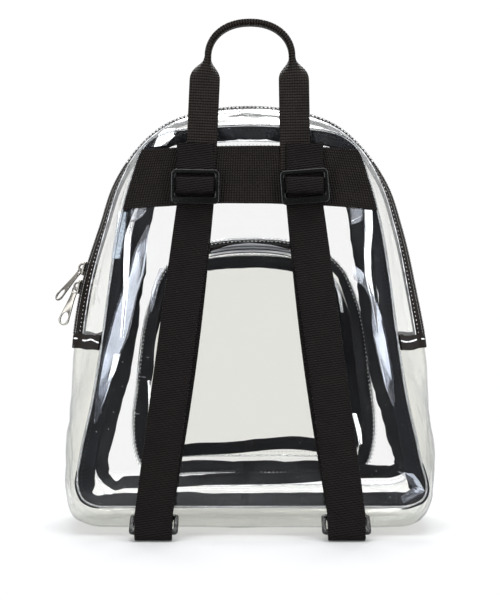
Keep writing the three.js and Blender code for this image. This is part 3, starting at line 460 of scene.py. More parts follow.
pvc_sheet = clear_pvc("clear_pvc_sheet", 60, 1.2, head_on=0.021, tint="#fefefe")
pvc_pocket = clear_pvc("clear_pvc_pocket_sheet", 60, 1.2, tint="#f8f8f5")
pvc_gusset = clear_pvc("clear_pvc_gusset", 45, 0.8, head_on=0.03, tint="#f9f9f7")
pvc_strip = clear_pvc("clear_pvc_zip_strip", 45, 0.8, head_on=0.018, tint="#fefefd", grazing_shade="#c2c1be")
pvc_seam_shade = clear_pvc("clear_pvc_seam_fold_painted_shade", 9, 0.6, head_on=0.1, tint="#d8d9da", grazing_shade="#2c2a2a", power=1.6)
print("PVC finishes:", pvc_sheet.name, pvc_gusset.name, pvc_seam_shade.name)


# %% Cut edge of the sheet, with a painted glow
def glowing_edge(name, colour, glow):
    """The cut edge and the sewn lip of a clear sheet look white, in spots about five millimetres long. That
    white is a painted glow: an emission standing in for the light that they gather from the whole sheet."""
    made, tree, out = material(name)
    place = add(tree, "ShaderNodeTexCoord").outputs["Object"]
    spots = add(tree, "ShaderNodeTexNoise", {"Vector": place, "Scale": 180.0, "Detail": 2.0}).outputs["Fac"]
    level = add(tree, "ShaderNodeMapRange", {
        "Value": spots, "From Min": 0.35, "From Max": 0.62, "To Min": 0.0, "To Max": glow}).outputs[0]
    edge = add(tree, "ShaderNodeBsdfPrincipled", {
        "Base Color": linear(colour), "Roughness": 0.25, "IOR": 1.53,
        "Emission Color": linear("#ffffff"), "Emission Strength": level})
    tree.links.new(edge.outputs[0], out.inputs["Surface"])
    return made


# The cut edge's white is a painted glow, an emission that stands in for light caught by the sheet.
glowing_cut_edge = glowing_edge("pvc_cut_edge_painted_glow", "#c9cbcf", 0.75)
print("edge finish:", glowing_cut_edge.name)

# %% [markdown]
# ### Woven webbing
# Polypropylene webbing is woven as ribs that run across it. Each rib is a row of short yarn humps, and
# on the straps every row is set off from the one before. The rib pitch is drawn a little coarser than
# the real 1.2 mm so that it still shows from a metre away. The yarn is one black, but the humps' tops
# are coloured lighter and their hollows darker, a painted shade over the bump.

# %% Webbing finishes
def webbing(name, dark, light, rib=1.9, hump=1.9, step=0.5, slant=0.0, relief=0.38):
    """rib and hump are the pitch along and across in mm. step is the shift from row to row as a share of
    a hump, slant how far a rib climbs for each mm across, and relief how deep the humps are cut."""
    made, tree, out = material(name)
    uv = add(tree, "ShaderNodeUVMap", uv_map="weave").outputs[0]
    split = add(tree, "ShaderNodeSeparateXYZ", {0: uv})
    across, along = split.outputs[0], split.outputs[1]
    slanted = add(tree, "ShaderNodeMath", {0: across, 1: slant, 2: along}, operation="MULTIPLY_ADD").outputs[0]
    row = add(tree, "ShaderNodeMath", {0: slanted, 1: rib}, operation="DIVIDE").outputs[0]
    row_number = add(tree, "ShaderNodeMath", {0: row}, operation="FLOOR").outputs[0]
    row_phase = add(tree, "ShaderNodeMath", {0: row}, operation="FRACT").outputs[0]
    row_angle = add(tree, "ShaderNodeMath", {0: row_phase, 1: math.pi}, operation="MULTIPLY").outputs[0]
    row_hump = add(tree, "ShaderNodeMath", {0: row_angle}, operation="SINE").outputs[0]
    cell = add(tree, "ShaderNodeMath", {0: across, 1: hump}, operation="DIVIDE").outputs[0]
    shifted = add(tree, "ShaderNodeMath", {0: row_number, 1: step, 2: cell}, operation="MULTIPLY_ADD").outputs[0]
    cell_angle = add(tree, "ShaderNodeMath", {0: shifted, 1: math.tau}, operation="MULTIPLY").outputs[0]
    cell_wave = add(tree, "ShaderNodeMath", {0: cell_angle}, operation="SINE").outputs[0]
    cell_hump = add(tree, "ShaderNodeMath", {0: cell_wave, 1: relief, 2: 1 - relief},
                    operation="MULTIPLY_ADD").outputs[0]
    height = add(tree, "ShaderNodeMath", {0: row_hump, 1: cell_hump}, operation="MULTIPLY").outputs[0]
    # The UV map is in mm, so the fuzz is about 0.5 mm wide and the worn patches are about 11 mm.
    fuzz = add(tree, "ShaderNodeTexNoise", {"Vector": uv, "Scale": 2.2, "Detail": 3.0}).outputs["Fac"]
    worn = add(tree, "ShaderNodeTexNoise", {"Vector": uv, "Scale": 0.09, "Detail": 2.0}).outputs["Fac"]
    # Painted shade: the humps' tops are coloured lighter and their hollows darker; the fuzz and the worn patches are
    # the yarn's own tone.
    wear_and_painted_shade = add(tree, "ShaderNodeMath", {0: height, 1: fuzz}, operation="MULTIPLY").outputs[0]
    wear_and_painted_shade = add(tree, "ShaderNodeMath", {0: wear_and_painted_shade, 1: 1.5}, operation="MULTIPLY").outputs[0]
    patchy = add(tree, "ShaderNodeMath", {0: worn, 1: 0.9, 2: 0.55}, operation="MULTIPLY_ADD").outputs[0]
    wear_and_painted_shade = add(tree, "ShaderNodeMath", {0: wear_and_painted_shade, 1: patchy}, operation="MULTIPLY", use_clamp=True).outputs[0]
    colour = add(tree, "ShaderNodeMix", {"Factor": wear_and_painted_shade, 6: linear(dark), 7: linear(light)}, data_type="RGBA")
    bump = add(tree, "ShaderNodeBump", {"Height": height, "Distance": 0.6 * mm, "Strength": 1.0})
    cloth = add(tree, "ShaderNodeBsdfPrincipled", {
        "Base Color": colour.outputs[2], "Roughness": 0.55, "IOR": 1.49, "Specular IOR Level": 0.09,
        "Sheen Weight": 0.015, "Sheen Roughness": 0.4, "Normal": bump.outputs[0]})
    tree.links.new(cloth.outputs[0], out.inputs["Surface"])
    return made


strap_webbing = webbing("polypropylene_strap_webbing", "#020101", "#1b1514",
                        rib=1.6, hump=3.2, slant=0.14, relief=0.2)
yoke_webbing = webbing("polypropylene_yoke_webbing", "#030202", "#2f2926",
                       rib=1.7, hump=1.7, step=0.0)
handle_webbing = webbing("polypropylene_handle_webbing", "#020101", "#312b27",
                         rib=1.9, hump=1.7, step=0.0, relief=0.25)
print("webbing finishes made")

# %% [markdown]
# ### Binding and zip tape
# The binding is a thin polypropylene tape with a fine cross rib and a soft satin face, so it catches a
# cool grey shine. The zip tape is a close polyester weave, browner and duller. Both gather lint, whose
# specks are drawn larger than real so that they show.

# %% Binding and zip tape finishes
def woven_tape(name, dark, light, rib, rough, shine):
    """rib is the pitch of the cross ribs in mm. A wave texture at scale 1 repeats each 0.314 units."""
    made, tree, out = material(name)
    uv = add(tree, "ShaderNodeUVMap", uv_map="weave").outputs[0]
    ribs = add(tree, "ShaderNodeTexWave", {"Vector": uv, "Scale": 0.314 / rib, "Distortion": 0.6, "Detail": 1.0},
               wave_type="BANDS", bands_direction="Y").outputs["Fac"]
    fuzz = add(tree, "ShaderNodeTexNoise", {"Vector": uv, "Scale": 1.4, "Detail": 3.0}).outputs["Fac"]
    worn = add(tree, "ShaderNodeTexNoise", {"Vector": uv, "Scale": 0.06, "Detail": 2.0}).outputs["Fac"]
    # Painted shade: the rib bands colour the tape lighter and darker; the fuzz and the worn patches are the yarn's
    # own tone.
    fine = add(tree, "ShaderNodeMath", {0: ribs, 1: fuzz}, operation="MULTIPLY").outputs[0]
    wear_and_painted_shade = add(tree, "ShaderNodeMath", {0: fine, 1: worn}, operation="ADD").outputs[0]
    wear_and_painted_shade = add(tree, "ShaderNodeMath", {0: wear_and_painted_shade, 1: 0.9, 2: -0.25}, operation="MULTIPLY_ADD", use_clamp=True)
    colour = add(tree, "ShaderNodeMix", {"Factor": wear_and_painted_shade.outputs[0], 6: linear(dark), 7: linear(light)},
                 data_type="RGBA")
    dots = add(tree, "ShaderNodeTexVoronoi", {"Vector": uv, "Scale": 0.16}).outputs["Distance"]
    lint = add(tree, "ShaderNodeMapRange", {
        "Value": dots, "From Min": 0.045, "From Max": 0.075, "To Min": 1.0, "To Max": 0.0}).outputs[0]
    dusted = add(tree, "ShaderNodeMix", {
        "Factor": lint, 6: colour.outputs[2], 7: linear("#8b8f96")}, data_type="RGBA")
    bump = add(tree, "ShaderNodeBump", {"Height": ribs, "Distance": 0.15 * mm, "Strength": 0.7})
    cloth = add(tree, "ShaderNodeBsdfPrincipled", {
        "Base Color": dusted.outputs[2], "Roughness": rough, "IOR": 1.5, "Specular IOR Level": shine,
        "Sheen Weight": 0.01, "Normal": bump.outputs[0]})
    tree.links.new(cloth.outputs[0], out.inputs["Surface"])
    return made


binding_tape = woven_tape("woven_binding_tape", "#070709", "#1c1d22", 0.9, 0.45, 0.2)
zip_tape = woven_tape("woven_zip_tape", "#0a0706", "#231a15", 0.7, 0.6, 0.05)
print("tape finishes made")

# %% [markdown]
# ### Small parts
# The coil is nylon monofilament with a soft shine. The needle pulls the clear sheet down at each stitch,
# and the dimple catches a point of light. That glint is painted: the thread over the PVC is coloured pale
# grey as a painted highlight. The sliders are cast zinc, nickel plated and tumbled. The strap adjusters
# are moulded acetal with a satin skin.

# %% Coil, thread, nickel and acetal
def plain(name, dark, light, rough, metallic=0.0, ior=1.5, grain_mm=2.0, depth=0.02, spread=0.08):
    """A solid finish. Its grain is grain_mm wide and depth mm deep, and the roughness varies by spread."""
    made, tree, out = material(name)
    place = add(tree, "ShaderNodeTexCoord").outputs["Object"]
    grain = add(tree, "ShaderNodeTexNoise", {"Vector": place, "Scale": 1000 / grain_mm, "Detail": 3.0})
    blotch = add(tree, "ShaderNodeTexNoise", {"Vector": place, "Scale": 1000 / (grain_mm * 9), "Detail": 1.0})
    colour = add(tree, "ShaderNodeMix", {
        "Factor": blotch.outputs["Fac"], 6: linear(dark), 7: linear(light)}, data_type="RGBA")
    skin = add(tree, "ShaderNodeMapRange", {
        "Value": grain.outputs["Fac"], "To Min": rough - spread, "To Max": rough + spread})
    bump = add(tree, "ShaderNodeBump", {"Height": grain.outputs["Fac"], "Distance": depth * mm, "Strength": 0.8})
    body = add(tree, "ShaderNodeBsdfPrincipled", {
        "Base Color": colour.outputs[2], "Metallic": metallic, "Roughness": skin.outputs[0], "IOR": ior,
        "Normal": bump.outputs[0]})
    tree.links.new(body.outputs[0], out.inputs["Surface"])
    return made


nylon_coil = plain("nylon_zip_coil", "#15100d", "#3a312b", 0.3, ior=1.53)
glint_thread = plain("thread_with_painted_glints", "#8d8b8a", "#c9c8c7", 0.35)
black_thread = plain("bonded_black_thread", "#121110", "#2a2826", 0.5)
nickel = plain("nickel_plated_zinc", "#6e6a65", "#9b968f", 0.24, metallic=1.0, depth=0.03)
acetal = plain("moulded_black_acetal", "#040404", "#0b0b0a", 0.26, ior=1.48, grain_mm=1.2, spread=0.05)
print("small finishes made")

# %% [markdown]
# ## The clear panels
# Each panel is cut flat and pulled into a slight dome by the seams. A square grid trimmed to the outline
# would leave a ragged edge, so rings of points that shrink towards the middle are used. Faint dents and a
# few long buckles keep the reflections alive, as on the real sheet.

# %% Dome of a panel
body_centre = (0, (panel_foot + panel_top) / 2)
to_rim = panel_ring - body_centre
rim_angles, rim_reaches = np.arctan2(to_rim[:, 1], to_rim[:, 0]), np.hypot(to_rim[:, 0], to_rim[:, 1])
order = np.argsort(rim_angles)
rim_angles, rim_reaches = rim_angles[order], rim_reaches[order]


def rim_share(x, z):
    """How far a point lies from the panel's centre, as a share of the way to its outline."""
    angle = math.atan2(z - body_centre[1], x - body_centre[0])
    reach = math.hypot(x - body_centre[0], z - body_centre[1])
    return reach / np.interp(angle, rim_angles, rim_reaches, period=math.tau)


def dome(x, z, height):
    """How far a panel stands out here, when its middle stands out by the height."""
    share = min(rim_share(x, z), 1)
    return height * (1 - share * share) ** 2


print("dome in the middle of the back panel in mm:", dome(*body_centre, back_dome))


# %% Panel helper
def panel(name, ring, centre, y_face, outwards, height, material, dents, seed):
    """A domed sheet inside a ring. height is the dome's, dents the depth of the dents, both in mm."""
    shares = np.concatenate([[0.06], np.linspace(0.14, 0.94, 15), [0.975, 1]])
    rings = ring[::4]
    grid = np.zeros((len(rings), len(shares), 3))
    for i, p in enumerate(rings):
        for j, s in enumerate(shares):
            x, z = centre[0] + (p[0] - centre[0]) * s, centre[1] + (p[1] - centre[1]) * s
            free = 1 - s ** 6
            dent = dents * free * (buckle((x * 0.8, z * 0.5, 0), 60, seed) + 0.35 * buckle((x, z, 4), 22, seed))
            grid[i, j] = (x, y_face + outwards * (height * (1 - s * s) ** 2 + dent), z)
    n, k = grid.shape[:2]
    half = sheet_thickness / 2
    outer, inner = grid.copy(), grid.copy()
    outer[..., 1] += outwards * half
    inner[..., 1] -= outwards * half
    vertices = [*outer.reshape(-1, 3), *inner.reshape(-1, 3)]
    mid = grid[:, 0].mean(0)
    vertices += [mid + (0, outwards * half, 0), mid - (0, outwards * half, 0)]
    faces, back = [], n * k
    for i in range(n):
        a, b = i * k, (i + 1) % n * k
        for j in range(k - 1):
            faces.append((a + j, b + j, b + j + 1, a + j + 1))
            faces.append((back + a + j, back + a + j + 1, back + b + j + 1, back + b + j))
        faces.append((a + k - 1, b + k - 1, back + b + k - 1, back + a + k - 1))
        faces.append((a, 2 * back, b))
        faces.append((back + a, back + b, 2 * back + 1))
    uvs = [(v[0], v[2]) for v in vertices]
    return finish_mesh(name, vertices, faces, uvs, material)


print("panel helper ready")

# %% Panels
mid_face = sheet_thickness / 2 + 0.2  # from the face's plane to the middle of the sheet
back_sheet = panel("back_sheet", panel_ring, body_centre, back_face + mid_face, -1, back_dome,
                   pvc_sheet, 1.0, 2)
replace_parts(back_sheet, "back_panel")
front_sheet = panel("front_sheet", panel_ring, body_centre, front_face - mid_face, 1, front_dome,
                    pvc_sheet, 1.0, 6)
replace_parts(front_sheet, "front_panel")
print("panels:", len(back_sheet.data.polygons), "faces each")

# %% [markdown]
# ## The clear gussets
# The lower gusset is one strip from zip end to zip end, under the bag. The upper gusset is two strips
# beside the zip. Over the top each strip reaches almost to the coil and covers its tape. All three are
# thickened parts of the one gusset surface, so they meet the seams and each other without a gap.

# %% Gussets
rows_per_mm = 1 / np.linalg.norm(at(crown_ring, zip_end_row + 0.5) - at(crown_ring, zip_end_row - 0.5))
end_half = 4.8 * rows_per_mm
coil_half, tape_width = 2.5, 14
tape_inner = coil_half + gap
tape_outer = tape_inner + tape_width
lower_rows = np.linspace(-zip_end_row + end_half, zip_end_row - end_half, 230)
zip_rows = np.linspace(zip_end_row + end_half, row_count - zip_end_row - end_half, 330)
lower_grid = gusset_points(lower_rows, np.linspace(-half_depth, half_depth, 41), lift=-0.5, slack=2.2)
lower_gusset = shell("lower_gusset_sheet", lower_grid, sheet_thickness, pvc_gusset)
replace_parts(lower_gusset, "lower_gusset")
for side, name, seed in ((-1, "back", 3), (1, "front", 5)):
    lines = []
    for row in zip_rows:
        over_top = ramp(from_bottom(row) - 11.2, 1.2)
        inner = tape_outer - 1.2 - (tape_width - 4.4) * over_top
        across = side * np.linspace(inner, half_depth, 21)
        lines.append(gusset_points([row], across, lift=0.3, slack=1.0, seed=seed)[0])
    strip = shell(f"zip_gusset_sheet_{name}", np.array(lines), 0.5, pvc_strip)
    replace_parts(strip, f"zip_gusset_{name}")
print("gusset rows:", len(lower_rows), len(zip_rows))

# %% [markdown]
# ## Seam folds
# Where a panel meets the gusset, both sheets turn inwards together and leave a small rounded fold. It is
# only a millimetre or two high, but it draws the bright and dark double line round the whole bag. The dark
# is painted shade in the fold's finish, and the bright line is a thin lip with a painted glow. Only its
# rounded top is ever seen, so a thin tube is swept along the seam instead of folding the sheets.

# %% Seam folds
def circle(radius, sides):
    """Points round a circle, as a cross section for sweep."""
    return [(radius * math.cos(math.tau * k / sides), radius * math.sin(math.tau * k / sides)) for k in range(sides)]


def ring_tube(name, ring, depth, radius, material, wobble=0.0, step=3, seed=0):
    """A round tube along a ring. depth is its place along Y, as a number or a function of the point."""
    points = ring[::step]
    n = len(points)
    centres = np.array([(p[0], depth(p) if callable(depth) else depth, p[1]) for p in points], float)
    along = unit(np.roll(centres, -1, 0) - np.roll(centres, 1, 0))
    ups = np.repeat([[0.0, 1.0, 0.0]], n, 0)
    rights = unit(np.cross(along, ups))
    if wobble:
        for i in range(n):
            centres[i] += rights[i] * wobble * buckle(centres[i], 15, seed)
    return sweep(name, centres, rights, ups, circle(radius, 10), material, ring=True)


# Each fold's tube is coloured with painted shade, and the lip beside it carries the cut edge's painted glow.
for name, depth, seed in (("back", -half_depth - 0.5, 4), ("front", half_depth + 0.5, 5)):
    ring_tube(f"seam_fold_{name}", panel_ring, depth, 0.75, pvc_seam_shade, wobble=0.3, seed=seed)
    ring_tube(f"seam_lip_{name}", panel_ring, depth * 0.975, 0.3, glowing_cut_edge, wobble=0.5, seed=3)
print("seam folds made")

# %% [markdown]
# ### Dark lines at the lower corners
# At the two lower corners a thin black line shows just outside the back seam's fold. It is painted shade:
# a tube of binding tape stands in for the dark that the fold shows there. It is swept as an uneven tube
# that is thickest in its middle.

# %% Corner lines of painted shade
for side, first, last in (("right", 2.6, 5.6), ("left", row_count - 5.4, row_count - 2.8)):
    rows = np.linspace(first, last, 60)
    line = np.array([(*at(panel_ring, row), 0) for row in rows])[:, [0, 2, 1]]
    line[:, 1] = -half_depth - 1.2
    for i in range(len(line)):
        line[i, [0, 2]] += outward(panel_ring, rows[i]) * (0.9 + 0.5 * buckle(line[i], 7, 4))
        line[i, 1] += 0.5 * buckle(line[i], 6, 8)
    along = unit(np.gradient(line, axis=0))
    ups = np.repeat([[0.0, 1.0, 0.0]], len(line), 0)
    thick = 0.25 + 0.55 * np.sin(np.linspace(0, math.pi, len(line))) ** 0.7
    sections = np.array([np.array(circle(1.0, 8)) * t for t in thick])
    sweep(f"corner_shade_line_{side}", line, unit(np.cross(along, ups)), ups, sections, binding_tape)
print("corner rolls made, up to", round(2 * float(thick.max()), 1), "mm thick")

# %% [markdown]
# ## Binding tape
# The binding is folded over the cut edges of the seam, inside the bag, and sewn through. It lies against
# the panel, but its free edge waves: it was sewn on a curve, and tape can't lie flat on a curve. It is
# pulled about as it is sewn, so its width and its place change along the seam, with a few small nicks.

# %% Binding
def binding(name, ring, depth, inwards, width, inset, wave=1.4, lift=2.6, seed=1, step=2, shift=None):
    """width and inset are functions of the row, shift of a place and a share of the width. depth is a
    number or a function of a place, and inwards is +1 or -1 along Y. wave is how far the free edge
    wanders, and lift how far it stands off the panel."""
    points = ring[::step]
    n = len(points)
    steps_per_row = ring_steps / step
    along = np.roll(points, -1, 0) - np.roll(points, 1, 0)
    along /= np.linalg.norm(along, axis=1, keepdims=True)
    into = np.stack([-along[:, 1], along[:, 0]], 1)
    shares = np.linspace(0, 1, 8)
    grid = np.zeros((n, len(shares), 3))
    for i in range(n):
        row = i / steps_per_row
        x, z = points[i]
        edge = buckle((x, z, 0), 26, seed) + 0.5 * buckle((x, z, 9), 9, seed)
        nick = max(0, buckle((x, z, 60), 5, seed + 5) - 0.25) * 2.2
        wide = width(row) + wave * edge - nick
        stand = max(0.0, 0.7 + 1.2 * buckle((x, z, 30), 30, seed + 2))
        for j, s in enumerate(shares):
            xz = points[i] + into[i] * (inset(row) + wide * s)
            if shift is not None:
                xz = xz + shift(xz[0], xz[1], s)
            y = depth(xz[0], xz[1]) if callable(depth) else depth
            grid[i, j] = (xz[0], y + inwards * (0.9 + lift * stand * s * s), xz[1])
    return shell(name, grid, 0.9, binding_tape, ring=True)


def steady(value):
    """A width or an inset that is the same on every row."""
    return lambda row: value


print("binding helper ready")


# %% Near binding
def near_width(row):
    """Wider at the lower corners, where the tape is pushed over, and slim below the left one."""
    left = row > row_count / 2
    corner = (2.2 if left else 3.0) * hump(from_bottom(row), 5.3, 1.2)
    pinch = 5.4 * hump(row, 20.2, 0.55)  # where the long crease on the left begins
    slim = 3.4 * hump(from_bottom(row), 3.4, 1.0) if left else 0
    return 8.4 + corner - pinch - slim


back_binding = binding("binding_tape_back", panel_ring, lambda x, z: -half_depth - dome(x, z, back_dome), 1,
                       near_width, steady(1.2), seed=4)
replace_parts(back_binding, "binding_back")
print("near binding faces:", len(back_binding.data.polygons))


# %% Far binding
def far_width(row):
    """The far tape leans into the bag along the sides, and slims towards the bottom."""
    return 9.0 + 5.0 * hump(from_bottom(row), 8.5, 2.2)


def far_inset(row):
    """Over the top the far seam is rolled down, out of sight behind the yoke."""
    return 1.2 + 5.0 * ramp(from_bottom(row) - 12.2, 1.5)


def far_shift(x, z, share):
    """Along the bottom the far tape sags on the left, is kinked near the left corner and rises on the right."""
    rise = 5.0 / (1 + math.exp(-(x - 55) / 12)) - 3.0 / (1 + math.exp((x + 45) / 12))
    kink = 6.0 * hump(x, -117, 6) - 4.5 * hump(x, -103, 4.5)
    return np.array([0, ramp(75 - z, 30) * (rise + kink * (0.4 + 0.6 * share))])


front_binding = binding("binding_tape_front", panel_ring, lambda x, z: half_depth + dome(x, z, front_dome), -1,
                        far_width, far_inset, wave=1.8, seed=9, shift=far_shift)
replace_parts(front_binding, "binding_front")
print("far binding faces:", len(front_binding.data.polygons))

# %% [markdown]
# ## Creases
# Where the stiff tape pulls the clear sheet over at the sides, the sheet is creased into narrow facets.
# Each facet leans a little towards a tall softbox at its side, so it mirrors that light as a pale wedge or
# a white line. Small caps and arcs close the wedges under the yoke. Across the pocket's top, three thin
# strips of black tape are painted shade: dark lines where fine folds turn the sheet dark.
# The lean is too small to model at this scale, so it is a bump that rises evenly across the facet.

# %% Creased PVC
def creased_pvc(name, share, lean, tint, milk=0.1, ripple=0.12):
    """share is the mirror's share, and lean the rise for each unit across, towards the facet's first edge.
    milk is how hazy the bent sheet is, and ripple the height of its small waves in mm."""
    made, tree, out = material(name)
    uv = add(tree, "ShaderNodeUVMap", uv_map="weave").outputs[0]
    across = add(tree, "ShaderNodeSeparateXYZ", {0: uv}).outputs[0]
    waves = add(tree, "ShaderNodeTexNoise", {"Vector": uv, "Scale": 0.06, "Detail": 1.0}).outputs["Fac"]
    rise = add(tree, "ShaderNodeMath", {0: across, 1: lean * mm}, operation="MULTIPLY").outputs[0]
    height = add(tree, "ShaderNodeMath", {0: waves, 1: ripple * mm, 2: rise}, operation="MULTIPLY_ADD").outputs[0]
    bump = add(tree, "ShaderNodeBump", {"Height": height, "Distance": 1.0, "Strength": 1.0})
    clear = add(tree, "ShaderNodeBsdfTransparent", {"Color": linear("#f8f8fa")})
    haze = add(tree, "ShaderNodeBsdfTranslucent", {"Color": linear("#f2f4fa")})
    body = add(tree, "ShaderNodeMixShader", {0: milk, 1: clear.outputs[0], 2: haze.outputs[0]})
    gloss = add(tree, "ShaderNodeBsdfPrincipled", {
        "Base Color": linear(tint), "Metallic": 1.0, "Roughness": 0.12, "Normal": bump.outputs[0]})
    streaks = add(tree, "ShaderNodeTexNoise", {"Vector": uv, "Scale": 0.05, "Detail": 1.0})
    here = add(tree, "ShaderNodeMapRange", {
        "Value": streaks.outputs["Fac"], "From Min": 0.3, "From Max": 0.7,
        "To Min": share * 0.8, "To Max": share * 1.2}).outputs[0]
    mixed = add(tree, "ShaderNodeMixShader", {0: here, 1: body.outputs[0], 2: gloss.outputs[0]})
    tree.links.new(mixed.outputs[0], out.inputs["Surface"])
    return made


wedge_left = creased_pvc("creased_pvc_wedge_left", 0.17, 0.28, "#e0e5f0")
line_left = creased_pvc("creased_pvc_line_left", 0.5, 0.28, "#ffffff")
pocket_glint = creased_pvc("creased_pvc_pocket_top", 0.07, 0.28, "#c9ccd0", milk=0.3, ripple=0.5)
hatched_left = creased_pvc("creased_pvc_hatched", 0.16, 0.28, "#dbe6f2", ripple=1.1)
cap_left = creased_pvc("creased_pvc_cap_left", 0.04, 0.28, "#e0e5f0")
cap_right = creased_pvc("creased_pvc_cap_right", 0.04, -0.33, "#e0e5f0")
wedge_right = creased_pvc("creased_pvc_wedge_right", 0.17, -0.33, "#e0e5f0")
line_right = creased_pvc("creased_pvc_line_right", 0.5, -0.33, "#ffffff")
print("crease finishes made")


# %% Crease helper
def back_inner(x, z):
    """A place just inside the back panel."""
    return -half_depth - dome(x, z, back_dome) - 0.12


def crease(name, one_edge, other_edge, finish, y_of=back_inner):
    """A smooth strip between two edges, given as (x, z) points in mm from top to bottom."""
    stations, lanes, bulge = 61, 7, 0.15
    edges = []
    for edge in (one_edge, other_edge):
        points = np.array(edge, float)
        run = lengths(points) / lengths(points)[-1]
        even = np.linspace(0, 1, stations)
        line = np.stack([np.interp(even, run, points[:, k]) for k in (0, 1)], 1)
        for _ in range(6):
            line[1:-1] = (line[:-2] + 2 * line[1:-1] + line[2:]) / 4
        edges.append(line)
    grid = np.zeros((stations, lanes, 3))
    for i in range(stations):
        for j, s in enumerate(np.linspace(0, 1, lanes)):
            x, z = edges[0][i] * (1 - s) + edges[1][i] * s
            grid[i, j] = (x, y_of(x, z) + bulge * math.sin(math.pi * s), z)
    return shell(name, grid, 0.25, finish)


print("crease helper ready")

# %% Creases at the left side
crease("crease_left_wedge",
       [(-70.7, 215), (-80.5, 195.8), (-82.8, 183.6), (-88.2, 169.8), (-93.6, 154.4), (-98.1, 136.8), (-102.3, 122),
        (-106.5, 96), (-107.5, 78)],
       [(-69.8, 215), (-71.3, 195.8), (-72.9, 182), (-78.2, 166.7), (-81.3, 149.1), (-85.1, 135.3), (-91, 124),
        (-99, 98), (-106.6, 78)], wedge_left)
crease("crease_left_line",
       [(-82.6, 218), (-86.7, 205), (-87.4, 189.7), (-87.4, 172.2), (-88.3, 159), (-89.7, 137.8)],
       [(-82.1, 218), (-82.4, 201.2), (-83.6, 182), (-84, 170.6), (-85.9, 154.4), (-87.6, 136.8)], line_left)
crease("crease_left_spur",
       [(-94, 126), (-96.5, 114), (-99, 104)], [(-89.5, 126), (-93, 114), (-98.4, 104)], line_left)
crease("crease_left_corner",
       [(-59.5, 281), (-64, 276.5), (-67.5, 269)], [(-51, 282), (-51.5, 277), (-58, 270)], line_left)
crease("crease_left_edge",
       [(-91.2, 224), (-92.6, 212), (-94.6, 200), (-95.6, 192)], [(-84.9, 224), (-86, 212), (-88, 200), (-90, 192)],
       hatched_left)
crease("crease_left_cap",
       [(-82.4, 226), (-82.8, 222), (-82.6, 217)], [(-71, 228), (-73, 222.5), (-80, 217)], cap_left)
crease("crease_left_arc", [(-71.2, 225), (-74.6, 220.6), (-78.8, 218.2), (-82.4, 217.2)],
       [(-72.2, 225), (-75.2, 221.6), (-79, 219.4), (-82.4, 218.2)], line_left)
print("left creases made")

# %% Creases at the right side
crease("crease_right_line",
       [(78.9, 226), (79.4, 212), (78.7, 197), (79.4, 180), (83.5, 165), (86.3, 150), (88.3, 138)],
       [(84.5, 226), (84.9, 212), (83.5, 197), (83.8, 180), (86, 165), (87.8, 150), (88.8, 138)], line_right)
crease("crease_right_wedge",
       [(71.5, 177.5), (76.9, 174.6), (81.8, 167.7), (83.8, 160.8), (84.2, 147), (85.8, 135.2), (89.7, 118.4),
        (93.2, 104.6), (98.7, 90.1)],
       [(70.4, 187.6), (77.9, 183.5), (81.4, 176.6), (84.2, 168.8), (87.2, 162.8), (90.7, 151.9), (94.5, 137.1),
        (97.6, 118.4), (99.4, 104.6), (98, 101.2), (100.7, 96.3), (99.4, 90.8)],
       wedge_right)
crease("crease_right_corner",
       [(102, 45), (108, 40), (113, 33), (104, 27)], [(113, 43), (118, 37), (121, 30), (106, 23)], wedge_right)
crease("crease_right_cap",
       [(69, 227), (69.5, 222), (70, 215)], [(78.5, 228), (78, 222), (77.5, 218)], cap_right)
crease("crease_right_arc",
       [(70, 217.5), (73.5, 218.8), (77.6, 221.2)], [(70, 218.5), (73.5, 220), (77.6, 222.6)], line_right)
print("right creases made")


# %% Creases by the pocket
def front_inner(x, z):
    """A place just inside the front panel."""
    return half_depth + dome(x, z, front_dome) - 3.2


crease("crease_pocket_top", [(-30, 199), (-15, 204), (1, 205.5), (17, 204), (32, 200)],
       [(-30, 196), (-15, 197.5), (1, 198), (17, 197.5), (32, 196.5)], pocket_glint, front_inner)
crease("crease_pocket_left", [(-69, 186.5), (-75.1, 169.6), (-76.7, 154.3)],
       [(-66.7, 186.5), (-70.5, 169.6), (-75.1, 152.8)], wedge_left, front_inner)
crease("crease_pocket_left_low", [(-78.2, 100.6), (-77.4, 83), (-76.7, 66)],
       [(-76.7, 100.6), (-75.1, 83), (-75.9, 66)], line_left, front_inner)
crease("crease_pocket_right", [(63.5, 178.8), (67.5, 165.8), (69.8, 152.8)],
       [(64.8, 178.8), (69.8, 165.8), (71.3, 152.8)], line_right, front_inner)
crease("crease_pocket_right_low", [(78.2, 75.3), (81.3, 62.3), (83.6, 50.8)],
       [(81.3, 75.3), (85.1, 62.3), (85.9, 52.3)], line_right, front_inner)
# Painted shade: three thin strips of black binding tape draw the dark lines of fine folds across the pocket's top.
dark_line_height, dark_line_middle, dark_line_width = 203.6, 1, 0.55
for k, (drop, half) in enumerate(((0, 29), (2.2, 31), (4.6, 32))):
    top = [(x, dark_line_height - drop - 3.4 * ((x - dark_line_middle) / 31) ** 2)
           for x in np.linspace(dark_line_middle - half, dark_line_middle + half, 7)]
    crease(f"pocket_shade_line_{k + 1}", top, [(x, z - dark_line_width) for x, z in top], binding_tape, front_inner)
print("pocket creases made")

# %% [markdown]
# ## The zip
# The tapes lie on each side of the coil. The coil is two spirals that lock: seen from outside, it is two
# rows of small loops set half a pitch apart. A true spiral would need many more faces and look the same
# from a metre away, so one loop is shaped once and copied along the ridge.

# %% Zip tapes
for side, name in ((-1, "back"), (1, "front")):
    tape = shell(f"zip_tape_{name}_cloth", gusset_points(
        zip_rows, side * np.linspace(tape_inner - 1.2, tape_outer, 9), lift=-0.6), 0.8, zip_tape)
    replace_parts(tape, f"zip_tape_{name}")
print("zip tapes made")


